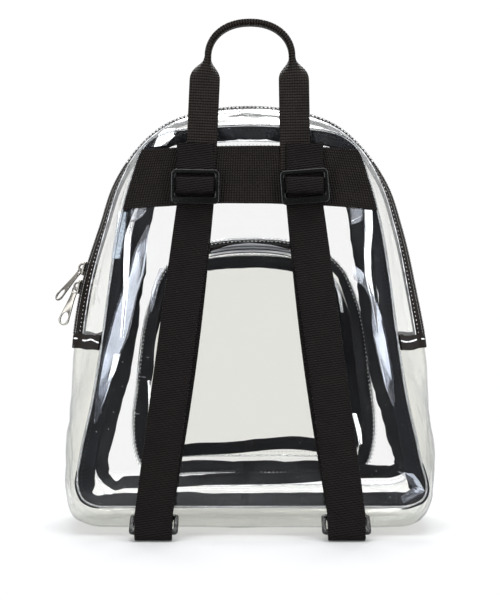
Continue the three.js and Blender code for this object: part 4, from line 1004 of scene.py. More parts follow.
# %% Places along the ridge
def ridge_frame(row, depth=0.0, lift=0.0):
    """Place on the gusset, with the vectors along the zip, across it and out of it."""
    here = gusset_points([row], [depth])[0, 0]
    ahead = gusset_points([row + 0.02], [depth])[0, 0]
    out2 = outward(crown_ring, row)
    out = np.array([out2[0], 0, out2[1]])
    along = unit(ahead - here)
    out = unit(out - along * np.dot(out, along))
    return here + out * lift, along, np.cross(out, along), out


def rows_spaced(first, last, pitch, ring=crown_ring):
    """Row numbers that lie a pitch apart along the ring."""
    fine = np.linspace(first, last, 4000)
    run = lengths(at(ring, fine))
    return np.interp(np.arange(pitch / 2, run[-1], pitch), run, fine)


print("rows 10 mm apart along the zip:", len(rows_spaced(zip_rows[0], zip_rows[-1], 10)))


# %% Copies of a small shape
def copies(name, template, faces, frames, material, smooth=60):
    """One small shape copied into each frame (place, x axis, y axis, z axis), as one mesh."""
    template = np.asarray(template, float)
    vertices, all_faces = [], []
    for place, x, y, z in frames:
        start = len(vertices)
        vertices += list(place + template @ np.array([x, y, z]))
        all_faces += [tuple(start + i for i in face) for face in faces]
    uvs = [(v[0], v[2]) for v in vertices]
    return finish_mesh(name, vertices, all_faces, uvs, material, smooth)


def bead(length, width, height, rings=5, sides=6):
    """A small rounded bar along X, for a stitch or a loop of the coil."""
    vertices = [(-length / 2, 0, 0)]
    for k in range(1, rings):
        t = math.pi * k / rings
        r = math.sin(t) ** 0.45
        vertices += [(-length / 2 * math.cos(t), r * width / 2 * math.cos(a), r * height / 2 * math.sin(a))
                     for a in (math.tau * i / sides for i in range(sides))]
    vertices.append((length / 2, 0, 0))
    faces = [(0, 1 + (i + 1) % sides, 1 + i) for i in range(sides)]
    for k in range(rings - 2):
        a, b = 1 + k * sides, 1 + (k + 1) * sides
        faces += [(a + i, a + (i + 1) % sides, b + (i + 1) % sides, b + i) for i in range(sides)]
    last, tip = 1 + (rings - 2) * sides, len(vertices) - 1
    faces += [(last + i, last + (i + 1) % sides, tip) for i in range(sides)]
    return vertices, faces


print("bead and copies ready")

# %% Coil loops
loop_pitch = 1.9
loop_shape, loop_faces = bead(3.4, 1.2, 2.3)
loop_frames = []
for k, row in enumerate(rows_spaced(zip_rows[0], zip_rows[-1], loop_pitch / 2)):
    side = 1 if k % 2 else -1
    place, along, across, out = ridge_frame(row, 0.0, 0.75)
    loop_frames.append((place + across * side * 0.95, across, along, out))
coil = copies("zip_coil_loops", loop_shape, loop_faces, loop_frames, nylon_coil)
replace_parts(coil, "zip_chain")
print("coil loops:", len(loop_frames))

# %% [markdown]
# ## Stitching
# Every seam is lock-stitched at about three millimetres. A stitch is a short bar of thread that dips at
# both ends. The same bar is copied along each row. Beside the coil, over the top, the stitches of the
# clear strips look like longer white dashes. These dashes, the stitches beside the tape and the strips'
# edges get their white from the cut edge's painted glow.

# %% Stitch rows
stitch_pitch = 3.0
stitch_shape, stitch_faces = bead(0.9, 0.42, 0.4, rings=4, sides=5)


def stitch_row(name, frames, material):
    """The stitch copied into each frame."""
    return copies(name, stitch_shape, stitch_faces, frames, material)


dash_shape, dash_faces = bead(1.9, 0.9, 0.7, rings=4, sides=6)
for side, name in ((-1, "back"), (1, "front")):
    for k, offset in enumerate((tape_outer - 2.0, tape_outer - 6.2)):
        frames = [ridge_frame(row, side * offset, 0.1)
                  for row in rows_spaced(zip_rows[0], zip_rows[-1], stitch_pitch)]
        stitch_row(f"tape_stitches_{name}_{k + 1}", frames, glowing_cut_edge)
    edge_line = np.array([gusset_points([row], [side * (tape_outer - 0.6)], lift=0.5)[0, 0] for row in zip_rows])
    along = unit(np.gradient(edge_line, axis=0))
    ups = np.stack([outward(crown_ring, row) for row in zip_rows])
    ups = np.stack([ups[:, 0], ups[:, 0] * 0, ups[:, 1]], 1)
    sweep(f"strip_edge_{name}", edge_line, unit(np.cross(along, ups)), ups, circle(0.28, 8), glowing_cut_edge)
    dash_frames = [ridge_frame(row, side * 3.6, 0.9) for row in rows_spaced(11.6, row_count - 11.6, 2.9)]
    copies(f"top_dashes_{name}", dash_shape, dash_faces, dash_frames, glowing_cut_edge)
print("zip stitches made")


# %% Stitches round the panels
def panel_stitches(name, ring, inset, y_of, material, facing=-1):
    """A row of stitches that far inside a ring. facing is the side of Y that they are seen from."""
    frames = []
    for row in rows_spaced(0, len(ring) / ring_steps, stitch_pitch, ring):
        p = at(ring, row) - outward(ring, row) * inset
        q = at(ring, row + 0.02) - outward(ring, row + 0.02) * inset
        place = np.array([p[0], y_of(p[0], p[1]), p[1]])
        along = unit(np.array([q[0], y_of(q[0], q[1]), q[1]]) - place)
        out = np.array([0, facing, 0.0])
        out = unit(out - along * np.dot(out, along))
        frames.append((place, along, np.cross(out, along), out))
    return stitch_row(name, frames, material)


panel_stitches("seam_stitches_back", panel_ring, 3.2, lambda x, z: back_face - dome(x, z, back_dome) - 0.1,
               black_thread)
panel_stitches("seam_stitches_front", panel_ring, 3.2, lambda x, z: front_face + dome(x, z, front_dome) + 0.1,
               black_thread, facing=1)
print("panel stitches made")

# %% [markdown]
# ## Bound seams at the zip ends
# The zip's ends and the lower gusset are sewn right sides together and bound, so a black band crosses
# the gusset on each side. A lip of clear sheet stands over its middle, and the cut edge's painted glow
# makes it a bright line, a painted highlight. The band is a lifted strip of the gusset surface, with an
# edge that waves like real binding.

# %% Zip ends
for side, middle in (("right", zip_end_row), ("left", row_count - zip_end_row)):
    rows = middle + np.linspace(-end_half, end_half, 9)
    depths = np.linspace(-half_depth + 0.5, half_depth - 0.5, 41)
    grid = gusset_points(rows, depths, lift=0.9)
    for j in range(len(depths)):
        grid[:, j, 2] += 1.0 * buckle((depths[j], middle, 0), 22, 3)
        grid[0 if side == "left" else -1, j, 2] += 1.6 * buckle((depths[j], middle, 9), 13, 3)
    band = shell(f"zip_end_binding_{side}", grid.transpose(1, 0, 2).copy(), 1.3, zip_tape)
    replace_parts(band, f"zip_end_{side}")
    lip_row = middle + (end_half if side == "right" else -end_half) * 0.25
    line = gusset_points([lip_row], depths, lift=1.7)[0]
    for j in range(len(depths)):
        line[j, 2] += 1.5 * buckle((depths[j], middle, 5), 14, 8)
        sunk = 2.2 * max(0, buckle((depths[j], 3, 5), 9, 4))  # the lip dips out of sight in places
        line[j] -= outward(crown_ring, lip_row)[[0, 0, 1]] * [1, 0, 1] * sunk
    along = unit(np.gradient(line, axis=0))
    out2 = outward(crown_ring, lip_row)
    ups = np.repeat([[out2[0], 0, out2[1]]], len(line), 0)
    rights = unit(np.cross(along, ups))
    sweep(f"zip_end_lip_{side}", line, rights, ups, circle(0.55, 8), glowing_cut_edge)
print("zip ends made")

# %% [markdown]
# ## The front pocket
# The pocket is a smaller copy of the body: a panel, a gusset and a zip over its top. Its base edge is
# sewn straight onto the front panel, and its outer seam is bound like the body's. So the same helpers
# make it, with outlines of its own.

# %% Pocket surface
pocket_depth, pocket_width, pocket_foot, pocket_top = 34, 185, 29, 208
pocket_inset, pocket_foot_rise, pocket_top_drop, pocket_bulge, pocket_shift, pocket_dome = 5, 10, 11, 4, 3, 3
pocket_outline = [
    (0, 0), (0.45, 0), (0.8, 0), (0.93, 0.035), (0.985, 0.11), (1, 0.22), (0.96, 0.405), (0.91, 0.62),
    (0.845, 0.745), (0.72, 0.88), (0.53, 0.96), (0.27, 0.993), (0, 1),
]
pocket_rows = 2 * (len(pocket_outline) - 1)
pocket_end = 6
pocket_height = pocket_top - pocket_foot
pocket_base = smooth_ring(mirrored(pocket_outline, lambda r, side: (
    pocket_shift + side * r[0] * pocket_width / 2, pocket_foot + r[1] * pocket_height)), ring_steps)
pocket_rim = smooth_ring(mirrored(pocket_outline, lambda r, side: (
    pocket_shift + side * r[0] * (pocket_width / 2 - pocket_inset),
    pocket_foot + pocket_foot_rise + r[1] * (pocket_height - pocket_foot_rise - pocket_top_drop))), ring_steps)
pocket_out = front_face + gap + pocket_depth


def front_skin(x, z):
    """The outer face of the front panel."""
    return front_face + dome(x, z, front_dome)


def pocket_points(rows, shares, lift=0.0, slack=0.0, seed=21):
    """Grid of points on the pocket's gusset. A share of 0 is its base seam and 1 its outer seam."""
    rows, shares = np.asarray(rows, float), np.asarray(shares, float)
    base, rim, out = at(pocket_base, rows), at(pocket_rim, rows), outward(pocket_base, rows)
    grid = np.zeros((len(rows), len(shares), 3))
    for i in range(len(rows)):
        seam = front_skin(*base[i]) + gap
        for j, s in enumerate(shares):
            xz = base[i] * (1 - s) + rim[i] * s
            y = seam + (pocket_out - seam) * s
            wave = slack * buckle((xz[0], y, xz[1]), 20, seed) * math.sin(math.pi * min(max(s, 0), 1)) if slack else 0
            xz = xz + out[i] * (pocket_bulge * math.sin(math.pi * s) + lift + wave)
            grid[i, j] = (xz[0], y, xz[1])
    return grid


print("pocket outline points:", len(pocket_base))

# %% Pocket pieces
span = float(np.linalg.norm(at(pocket_base, pocket_end + 0.5) - at(pocket_base, pocket_end - 0.5)))
pocket_half = 3.8 / span
pocket_lower = np.linspace(-pocket_end + pocket_half, pocket_end - pocket_half, 150)
pocket_zip = np.linspace(pocket_end + pocket_half, pocket_rows - pocket_end - pocket_half, 190)
coil_share, tape_share = 2.0 / pocket_depth, 11.3 / pocket_depth
pieces = [
    ("pocket_gusset_sheet", pocket_lower, np.linspace(0, 1, 17), -0.5, 1.2, sheet_thickness, pvc_gusset,
     "clear_pvc", "pocket_gusset_lower"),
    ("pocket_strip_sheet_inner", pocket_zip, np.linspace(0, 0.5 - tape_share + 0.03, 6), -0.5, 0.5,
     sheet_thickness, pvc_gusset, "clear_pvc", "pocket_strip_inner"),
    ("pocket_strip_sheet_outer", pocket_zip, np.linspace(0.5 + tape_share - 0.03, 1, 6), -0.5, 0.5,
     sheet_thickness, pvc_gusset, "clear_pvc", "pocket_strip_outer"),
    ("pocket_tape_cloth_inner", pocket_zip, np.linspace(0.5 - tape_share, 0.5 - coil_share + 0.02, 6), -0.1, 0,
     0.8, zip_tape, "black_tape", "pocket_tape_inner"),
    ("pocket_tape_cloth_outer", pocket_zip, np.linspace(0.5 + coil_share - 0.02, 0.5 + tape_share, 6), -0.1, 0,
     0.8, zip_tape, "black_tape", "pocket_tape_outer"),
]
for name, rows, shares, lift, slack, thickness, finish, slot, node in pieces:
    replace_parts(shell(name, pocket_points(rows, shares, lift, slack), thickness, finish), node)
for side, middle in (("right", pocket_end), ("left", pocket_rows - pocket_end)):
    grid = pocket_points(middle + np.linspace(-pocket_half, pocket_half, 5), np.linspace(0, 1, 15), -0.6)
    band = shell(f"pocket_end_binding_{side}", grid.transpose(1, 0, 2).copy(), 1.3, binding_tape)
    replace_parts(band, f"pocket_zip_end_{side}")
pocket_centre = (pocket_shift, (pocket_foot + pocket_top) / 2)
pocket_sheet = panel("pocket_sheet", pocket_rim, pocket_centre, pocket_out + 0.7, 1, pocket_dome,
                     pvc_pocket, 0.7, 12)
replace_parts(pocket_sheet, "pocket_panel")
print("pocket sheets made")


# %% Pocket binding
def pocket_side(row):
    """-1 on the left side, +1 on the right, 0 at the top and bottom."""
    return math.sin(math.tau * row / pocket_rows)


def rim_width(row):
    """The pocket's outer tape is wide on the right and slim on the left."""
    side = pocket_side(row)
    return 9.0 + 3.5 * max(side, 0) ** 2 - 3.2 * max(-side, 0) ** 2


def rim_inset(row):
    """On the left it also stands out past its seam."""
    return 1.0 - 3.4 * max(-pocket_side(row), 0) ** 2


def base_width(row):
    """The base tape is folded away over the pocket's top."""
    top = max(-math.cos(math.tau * row / pocket_rows), 0)
    return 8.0 - 7.0 * top ** 2


def rim_shift(x, z, share):
    """The pocket's lower tape is lifted right of its middle, over its whole width."""
    return np.array([0, ramp(70 - z, 15) * 4.5 * hump(x, 28, 34)])


rim_binding = binding("pocket_binding_tape_outer", pocket_rim, pocket_out, -1, rim_width, rim_inset, seed=14,
                      wave=1.2, step=3, shift=rim_shift)
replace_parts(rim_binding, "pocket_binding_outer")
base_binding = binding("pocket_binding_tape_base", pocket_base, lambda x, z: front_skin(x, z) + gap, 1,
                       base_width, steady(1.2), seed=17, wave=0.8, lift=1.6, step=3)
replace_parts(base_binding, "pocket_binding_base")
print("pocket binding made")

# %% Pocket seams
# The pocket's seam folds carry the same painted shade, and its base lip the cut edge's painted glow.
ring_tube("pocket_seam_fold_outer", pocket_rim, pocket_out + 0.4, 0.8, pvc_seam_shade,
          wobble=0.3, step=4, seed=3)
ring_tube("pocket_seam_fold_base", pocket_base, lambda p: front_skin(*p) + 0.9, 0.8, pvc_seam_shade,
          wobble=0.3, step=4, seed=7)
ring_tube("pocket_seam_lip_base", pocket_base * 1.008, lambda p: front_skin(*p) + 1.4, 0.3, glowing_cut_edge,
          wobble=0.5, step=4, seed=9)
# The base seam's stitches are pale thread, a painted glint at each needle dimple.
panel_stitches("pocket_stitches_base", pocket_base, -1.6, lambda x, z: front_skin(x, z) + 0.2, glint_thread,
               facing=1)
print("pocket seams made")

# %% [markdown]
# ### Needle dimples
# The pocket's base is sewn through the front panel with two close rows. Inside the bag each needle hole
# leaves a dimple that catches light. It is drawn as a small pale bead on the inner face, a painted glint,
# so the seam shows in front of the tape.

# %% Pocket dimples
dimple_shape, dimple_faces = bead(1.1, 0.75, 0.6, rings=4, sides=6)
for k, inset in enumerate((-1.0, 1.0)):
    frames = []
    for row in rows_spaced(0.02 * k, len(pocket_base) / ring_steps, 3.1, pocket_base):
        p = at(pocket_base, row) - outward(pocket_base, row) * inset
        q = at(pocket_base, row + 0.02) - outward(pocket_base, row + 0.02) * inset
        along = unit(np.array([q[0] - p[0], 0, q[1] - p[1]]))
        out = np.array([0, -1.0, 0])
        frames.append((np.array([p[0], front_skin(p[0], p[1]) - 1.6, p[1]]), along, np.cross(out, along), out))
    copies(f"pocket_dimple_glints_{k + 1}", dimple_shape, dimple_faces, frames, glint_thread)
print("dimples in each row:", len(frames))

# %% Stitches of the pocket's outer seam
panel_stitches("pocket_stitches_outer", pocket_rim, 3.0, lambda x, z: pocket_out + 1.2, black_thread, facing=1)
print("outer seam stitched")


# %% Pocket coil
def pocket_frame(row, share, lift):
    """Place on the pocket's gusset, with vectors as in ridge_frame."""
    here, ahead = pocket_points([row, row + 0.02], [share])[:, 0]
    up = pocket_points([row], [share], 1.0)[0, 0] - here
    along = unit(ahead - here)
    out = unit(up - along * np.dot(up, along))
    return here + out * lift, along, np.cross(out, along), out


loop_frames = []
for k, row in enumerate(rows_spaced(pocket_zip[0], pocket_zip[-1], loop_pitch / 2, pocket_base)):
    place, along, across, out = pocket_frame(row, 0.5, 0.35)
    loop_frames.append((place + across * (0.85 if k % 2 else -0.85), across, along, out))
small_shape, small_faces = bead(2.8, 1.1, 1.5)
pocket_coil = copies("pocket_coil_loops", small_shape, small_faces, loop_frames, nylon_coil)
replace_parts(pocket_coil, "pocket_chain")
# The pocket tape's stitches are pale thread too, painted glints.
for name, share in (("inner", 0.5 - tape_share + 0.05), ("outer", 0.5 + tape_share - 0.05)):
    frames = [pocket_frame(row, share, 0.45)
              for row in rows_spaced(pocket_zip[0], pocket_zip[-1], stitch_pitch, pocket_base)]
    stitch_row(f"pocket_tape_stitches_{name}", frames, glint_thread)
print("pocket coil loops:", len(loop_frames))

# %% [markdown]
# ## Zip sliders and pulls
# A slider is a cast wedge with an arched wire crown. A flat pull with an oval hole hangs from the crown.
# The flat parts are drawn as closed curves with a bevel, like a stamping, and then made into meshes,
# because a curve's bevel rounds the edges of its holes as well.

# %% Flat stampings from curves
def stamping(name, loops, thickness, bevel, material):
    """A flat plate with rounded edges. loops holds the outline and its holes, as points in mm."""
    curve = bpy.data.curves.new(name, "CURVE")
    curve.dimensions = "2D"
    curve.fill_mode = "BOTH"
    curve.extrude = max(thickness / 2 - bevel, 0) * mm
    curve.bevel_depth = bevel * mm
    curve.bevel_resolution = 3
    curve.offset = -bevel * mm
    for loop in loops:
        spline = curve.splines.new("POLY")
        spline.points.add(len(loop) - 1)
        for point, (x, y) in zip(spline.points, loop):
            point.co = (x * mm, y * mm, 0, 1)
        spline.use_cyclic_u = True
    piece = bpy.data.objects.new(name, curve)
    bpy.context.scene.collection.objects.link(piece)
    bpy.ops.object.select_all(action="DESELECT")
    piece.select_set(True)
    bpy.context.view_layer.objects.active = piece
    bpy.ops.object.convert(target="MESH")
    piece = bpy.context.view_layer.objects.active
    bpy.ops.object.mode_set(mode="EDIT")
    bpy.ops.mesh.select_all(action="SELECT")
    bpy.ops.mesh.remove_doubles(threshold=0.00002)
    bpy.ops.mesh.normals_make_consistent(inside=False)
    bpy.ops.object.mode_set(mode="OBJECT")
    piece.data.materials.clear()
    piece.data.materials.append(material)
    bpy.ops.object.shade_smooth_by_angle(angle=math.radians(40))
    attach(piece, "root")
    return piece


def place_mesh(piece, matrix):
    """Moves the mesh itself, so that the object stays at the origin."""
    piece.data.transform(matrix)
    piece.data.update()


def basis(place, x, y, z):
    """4x4 matrix of a frame given in mm."""
    made = Matrix(np.array([x, y, z]).T.tolist()).to_4x4()
    made.translation = Vector(place) * mm
    return made


print("stamping ready")


# %% Outlines of stampings
def rounded_rectangle(width, height, corner, y=0.0):
    """Outline of a rectangle whose middle is at (0, y)."""
    steps = 6
    points = []
    for k, (sx, sy) in enumerate(((1, 1), (-1, 1), (-1, -1), (1, -1))):
        for i in range(steps + 1):
            a = math.pi / 2 * (k + i / steps)
            points.append((sx * (width / 2 - corner) + corner * math.cos(a),
                           y + sy * (height / 2 - corner) + corner * math.sin(a)))
    return points


def arc(x, y, rx, ry, start, end, steps):
    """Points on part of an ellipse, between two angles in degrees."""
    return [(x + rx * math.cos(math.radians(start + (end - start) * i / steps)),
             y + ry * math.sin(math.radians(start + (end - start) * i / steps))) for i in range(steps + 1)]


print("outline helpers ready")


# %% Slider
def slider(name, frame_matrix):
    """A wedge with a narrower nose and a wire crown, sitting on the coil."""
    body = stamping(f"{name}_body", [
        arc(-2.6, 3.6, 1.7, 1.6, 180, 90, 5) + arc(2.6, 3.6, 1.7, 1.6, 90, 0, 5)
        + [(4.3, 0.3), (3.2, -4.4)] + arc(0, -4.4, 3.0, 0.9, 0, -180, 8) + [(-4.3, 0.3)]],
        2.2, 0.7, nickel)
    place_mesh(body, frame_matrix @ Matrix.Translation((0, 0, 1.1 * mm)))
    path = arc(0, 0, 3.05, 2.9, 0, 180, 14)
    centres = [(0, x, 2.0 + z) for x, z in path]
    centres = np.array([(0, 3.05, 1.2)] + centres + [(0, -3.05, 1.2)], float)
    along = unit(np.gradient(centres, axis=0))
    rights = np.repeat([[1.0, 0.0, 0.0]], len(centres), 0)
    ups = unit(np.cross(along, rights))
    crown = sweep(f"{name}_crown", centres, rights, ups, circle(0.75, 10), nickel)
    place_mesh(crown, frame_matrix)
    return body, crown


print("slider ready")


# %% Pull
def pull(name, matrix, length=27.0):
    """A stamped pull: a small eye, a waist, and a round end with an oval hole."""
    half = 4.2
    outline = (arc(0, 0, 2.8, 2.8, 20, 160, 9) + [(-2.1, -3.2), (-2.35, -8)]
               + arc(0, half - length, half, half, 180, 360, 18) + [(2.35, -8), (2.1, -3.2)])
    hole = arc(0, 0, 1.7, 1.7, 0, 345, 15)
    oval = arc(0, half + 1.2 - length, half - 1.35, half + 0.3, 0, 350, 24)
    plate = stamping(name, [outline, hole, oval], 1.2, 0.4, nickel)
    place_mesh(plate, matrix)
    return plate


print("pull ready")

# %% Sliders and pulls in their places
slider_lift = 1.5


def left_row(height):
    """Row on the left side where the crown is that high."""
    rows = np.linspace(4, 15, 1200)
    return row_count - float(np.interp(height, at(crown_ring, rows)[:, 1], rows))


for name, height, lean, twist, swing in (("upper", 185.0, 24, 38, 0), ("lower", 171.6, 8, 68, 3)):
    place, along, across, out = ridge_frame(left_row(height), 0.0, slider_lift)
    seat = basis(place, across, -along, out)
    body, crown = slider(f"slider_{name}", seat)
    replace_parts(body, f"zip_slider_{name}")
    hang = (seat @ Matrix.Translation((0, -3.1 * mm, 3.6 * mm)) @ Matrix.Rotation(math.radians(-lean), 4, "X")
            @ Matrix.Rotation(math.radians(swing), 4, "Z") @ Matrix.Rotation(math.radians(twist), 4, "Y"))
    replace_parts(pull(f"pull_{name}", hang), f"zip_pull_{name}")
place, along, across, out = pocket_frame(pocket_end + 1.5, 0.5, slider_lift)
seat = basis(place, -across, along, out)
body, crown = slider("slider_pocket", seat)
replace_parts(body, "pocket_slider")
hang = seat @ Matrix.Translation((0, -3.1 * mm, 3.6 * mm)) @ Matrix.Rotation(math.radians(-7), 4, "X")
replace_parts(pull("pull_pocket", hang), "pocket_pull")
print("three sliders and pulls made")

# %% [markdown]
# ## Yoke
# The wide webbing is sewn into the seams at both ends and lies over the back panel. It droops a little
# towards its ends and ripples where the straps are sewn to it. A flat strip would cut into the domed
# panel or float off it, so a grid of points is laid on the panel and thickened.

# %% Yoke webbing
yoke_top, yoke_width, yoke_top_sag, yoke_bottom_sag = 269, 38.6, 2.5, 4.5


def half_width_at(z):
    """Half the panel's width at a height on its upper part."""
    right = panel_ring[: len(panel_ring) // 2]
    upper = right[right[:, 1] > 100]
    return float(np.interp(z, upper[:, 1], upper[:, 0]))


def back_skin(x, z):
    """The outer face of the back panel."""
    return back_face - dome(x, z, back_dome)


across_steps, up_steps = 90, 18
grid = np.zeros((across_steps + 1, up_steps + 1, 3))
for i in range(across_steps + 1):
    across = 2 * i / across_steps - 1
    for j in range(up_steps + 1):
        low = yoke_top - yoke_width - yoke_bottom_sag * across ** 2
        high = yoke_top - yoke_top_sag * across ** 2
        z = low + (high - low) * j / up_steps
        x = across * (half_width_at(z) - 0.4)
        pucker = 0.35 * buckle((x * 1.4, z * 0.5, 0), 14, 5) * (1 - abs(across) ** 8)
        grid[i, j] = (x, back_skin(x, z) - 1.35 - max(pucker, -0.3), z + 0.35 * buckle((x, 0, j), 18, 2))
yoke = shell("yoke_band", grid, 1.5, yoke_webbing, rounded=0.4)
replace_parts(yoke, "yoke_webbing")
print("yoke faces:", len(yoke.data.polygons))

# %% [markdown]
# ## Grab handle
# One length of 20 mm webbing. Its legs lie flat on the yoke, and between them it is folded in half
# lengthwise and sewn, so the grip is narrow with its spine towards the wearer's back. A bent strip can't
# change its cross section on the way, so the webbing is swept with a section that folds step by step.

# %% Folded webbing
def fold_section(fold, width=20.0, thickness=1.5, count=17):
    """Outline of webbing folded about its middle. fold is 0 when flat and 1 when shut."""
    bend = 9.0 + (2.3 - 9.0) * fold ** 0.5
    t = np.linspace(-width / 2, width / 2, count)
    fine = np.linspace(0, width / 2, 120)
    angle = fold * math.pi / 2 * np.clip(fine / bend, 0, 1)
    a = np.concatenate([[0], np.cumsum(np.cos(angle[:-1]) * np.diff(fine))])
    b = -np.concatenate([[0], np.cumsum(np.sin(angle[:-1]) * np.diff(fine))])
    x = np.sign(t) * np.interp(np.abs(t), fine, a)
    y = np.interp(np.abs(t), fine, b)
    turn = np.sign(t) * fold * math.pi / 2 * np.clip(np.abs(t) / bend, 0, 1)
    normal = np.stack([np.sin(turn), np.cos(turn)], 1)
    line = np.stack([x, y], 1)
    outer, inner = line + normal * thickness / 2, line - normal * thickness / 2
    ends = [line[-1] + np.array([math.cos(turn[-1]), -math.sin(turn[-1])]) * 0.45,
            line[0] - np.array([math.cos(turn[0]), -math.sin(turn[0])]) * 0.45]
    return np.concatenate([outer, ends[:1], inner[::-1], ends[1:]])


print("folded webbing is", round(float(np.ptp(fold_section(1.0)[:, 0])), 1), "mm wide")

# %% Handle
handle_path = []
for side in (-1, 1):
    foot_x, fold_x, neck_x = (33.9, 31.2, 29.0) if side < 0 else (31.2, 30.2, 29.0)
    leg = [(side * (foot_x + (fold_x - foot_x) * t), 252 + 60 * t, 0.0) for t in np.linspace(0, 1, 16)]
    for t in np.linspace(0, 1, 15)[1:]:
        leg.append((side * (fold_x + (neck_x - fold_x) * t ** 1.5), 312 + 19 * t, t * t * (3 - 2 * t)))
    for t in np.linspace(0, 1, 26)[1:]:
        a = math.pi / 2 * t
        leg.append((side * neck_x * math.cos(a) ** 0.92 if t < 1 else 0.0, 331 + 23.6 * math.sin(a) ** 0.96, 1.0))
    handle_path.append(leg if side < 0 else leg[:-1][::-1])
path = handle_path[0] + handle_path[1]
centres, rights, sections = [], [], []
for k, (x, z, fold) in enumerate(path):
    before, after = path[max(k - 1, 0)], path[min(k + 1, len(path) - 1)]
    along = np.array([after[0] - before[0], 0, after[1] - before[1]])
    along /= np.linalg.norm(along)
    seat = back_skin(x, min(z, panel_top)) - 2.85 - 0.225 * ramp(z - 272, 20)
    centres.append((x, seat, z))
    rights.append((along[2], 0, -along[0]))
    sections.append(fold_section(fold))
ups = np.repeat([[0.0, -1.0, 0.0]], len(path), 0)
grip = sweep("handle_strap", centres, rights, ups, sections, handle_webbing)
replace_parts(grip, "handle_webbing")
print("handle stations:", len(path))

# %% [markdown]
# ## Shoulder straps
# Each strap is one length of 25 mm webbing. It is sewn to the yoke, weaves through the ladder slider,
# runs down to the ring, turns back up behind itself and ends round the slider's centre bar. Its path is
# marked at each bar it passes, and cutting the corners turns the marks into the soft bends of webbing.

# %% Sizes of the strap, its slider and its ring
strap_width, strap_thickness = 25.4, 1.35
strap_top_x, strap_foot_x = 37.5, 65.5
layer, half_layer = 1.4 + gap, 0.7 + gap
glide_width, glide_height, glide_thickness, glide_middle = 33.4, 23.6, 2.4, 241.0
top_bar, centre_bar, bottom_bar, side_bar = 3.0, 4.4, 4.8, 3.2
handle_face = -(half_depth + 2 * gap + 1 + 1.5 + gap + 1.6)
strap_seat = handle_face - gap - 0.7 - 0.6
glide_back = strap_seat - 2 * layer + half_layer
glide_plane = glide_back - glide_thickness / 2
glide_top, glide_foot = glide_middle + glide_height / 2, glide_middle - glide_height / 2
opening = (glide_height - top_bar - centre_bar - bottom_bar) / 2
centre_high = glide_top - top_bar - opening
centre_low = centre_high - centre_bar
behind = glide_back + half_layer
hidden = behind + layer
front_bar = glide_back - glide_thickness - half_layer
front_loop = front_bar - layer
ring_depth, ring_bar, ring_tilt, outer_height = 20.7, 3.3, 27, 6.4
outer_bar = np.array([-half_depth - 23, outer_height])
tilt = math.radians(ring_tilt)
inner_bar = outer_bar + (ring_depth - ring_bar) * np.array([math.cos(tilt), math.sin(tilt)])
wrap = ring_bar / 2 * math.sqrt(2) + gap + 0.7
turn = 0.8  # how far a corner mark stands from the corner, before corners are cut
print("slider's centre bar is", round(centre_low, 1), "to", round(centre_high, 1), "mm above the floor")


# %% Strap path
def strap_places():
    """Marks along the strap, as (y, z, shift). The shift moves the hidden layer towards the middle."""
    high, low = centre_high + half_layer + layer, centre_low - half_layer - layer
    places = [
        (strap_seat, 271, 0), (strap_seat, glide_top + 8, 0), (behind, glide_top, 0), (behind, high + turn, 0),
        (behind - turn, high, 0), (front_loop + turn, high, 0), (front_loop, high - turn, 0),
        (front_loop, low + turn, 0), (front_loop + turn, low, 0), (behind - turn, low, 0),
        (behind, low - turn, 0), (behind, glide_foot, 0)]
    front_foot, back_foot = outer_bar[0] - wrap, outer_bar[0] + wrap
    for i in range(1, 15):
        t = i / 14
        places.append((behind + (front_foot - behind) * t - 4 * math.sin(math.pi * t),
                       glide_foot + (outer_height + 5 - glide_foot) * t, 0))
    for a in np.linspace(180, 360, 10):
        places.append((outer_bar[0] + wrap * math.cos(math.radians(a)),
                       outer_height - 1.9 + wrap * math.sin(math.radians(a)), 0))
    for i in range(1, 15):
        t = i / 14
        places.append((back_foot + (hidden - back_foot) * t - 3 * math.sin(math.pi * t),
                       outer_height + 5 + (glide_foot - outer_height - 5) * t, 3 * math.sin(math.pi * t)))
    places += [
        (hidden, centre_low - half_layer - turn, 0), (hidden - turn, centre_low - half_layer, 0),
        (front_bar + turn, centre_low - half_layer, 0), (front_bar, centre_low - half_layer + turn, 0),
        (front_bar, centre_high + half_layer - turn, 0), (front_bar + turn, centre_high + half_layer, 0),
        (behind - turn, centre_high + half_layer, 0), (behind, centre_high + half_layer - turn, 0),
        (behind, centre_low + 1.4, 0)]
    return np.array(places, float)


print("strap length in mm:", round(float(lengths(strap_places()[:, :2])[-1])))


# %% Cut corners and webbing's cross section
def cut_corners(points, rounds=2):
    """Chaikin's corner cutting: each round replaces a corner by two points near it."""
    for _ in range(rounds):
        a, b = points[:-1], points[1:]
        middle = np.stack([0.75 * a + 0.25 * b, 0.25 * a + 0.75 * b], 1).reshape(-1, points.shape[1])
        points = np.concatenate([points[:1], middle, points[-1:]])
    return points


def webbing_section(width, thickness):
    """Rounded rectangle with enough points across for the strap to cup a little."""
    half, r = width / 2, thickness / 2
    flat = np.linspace(-half + r, half - r, 9)
    top = [(x, r) for x in flat]
    side = [(half - r + r * math.sin(a), r * math.cos(a)) for a in (math.pi / 4, math.pi / 2, 3 * math.pi / 4)]
    return top + side + [(x, -r) for x in flat[::-1]] + [(-x, -y) for x, y in side]


print("points round the webbing:", len(webbing_section(strap_width, strap_thickness)))

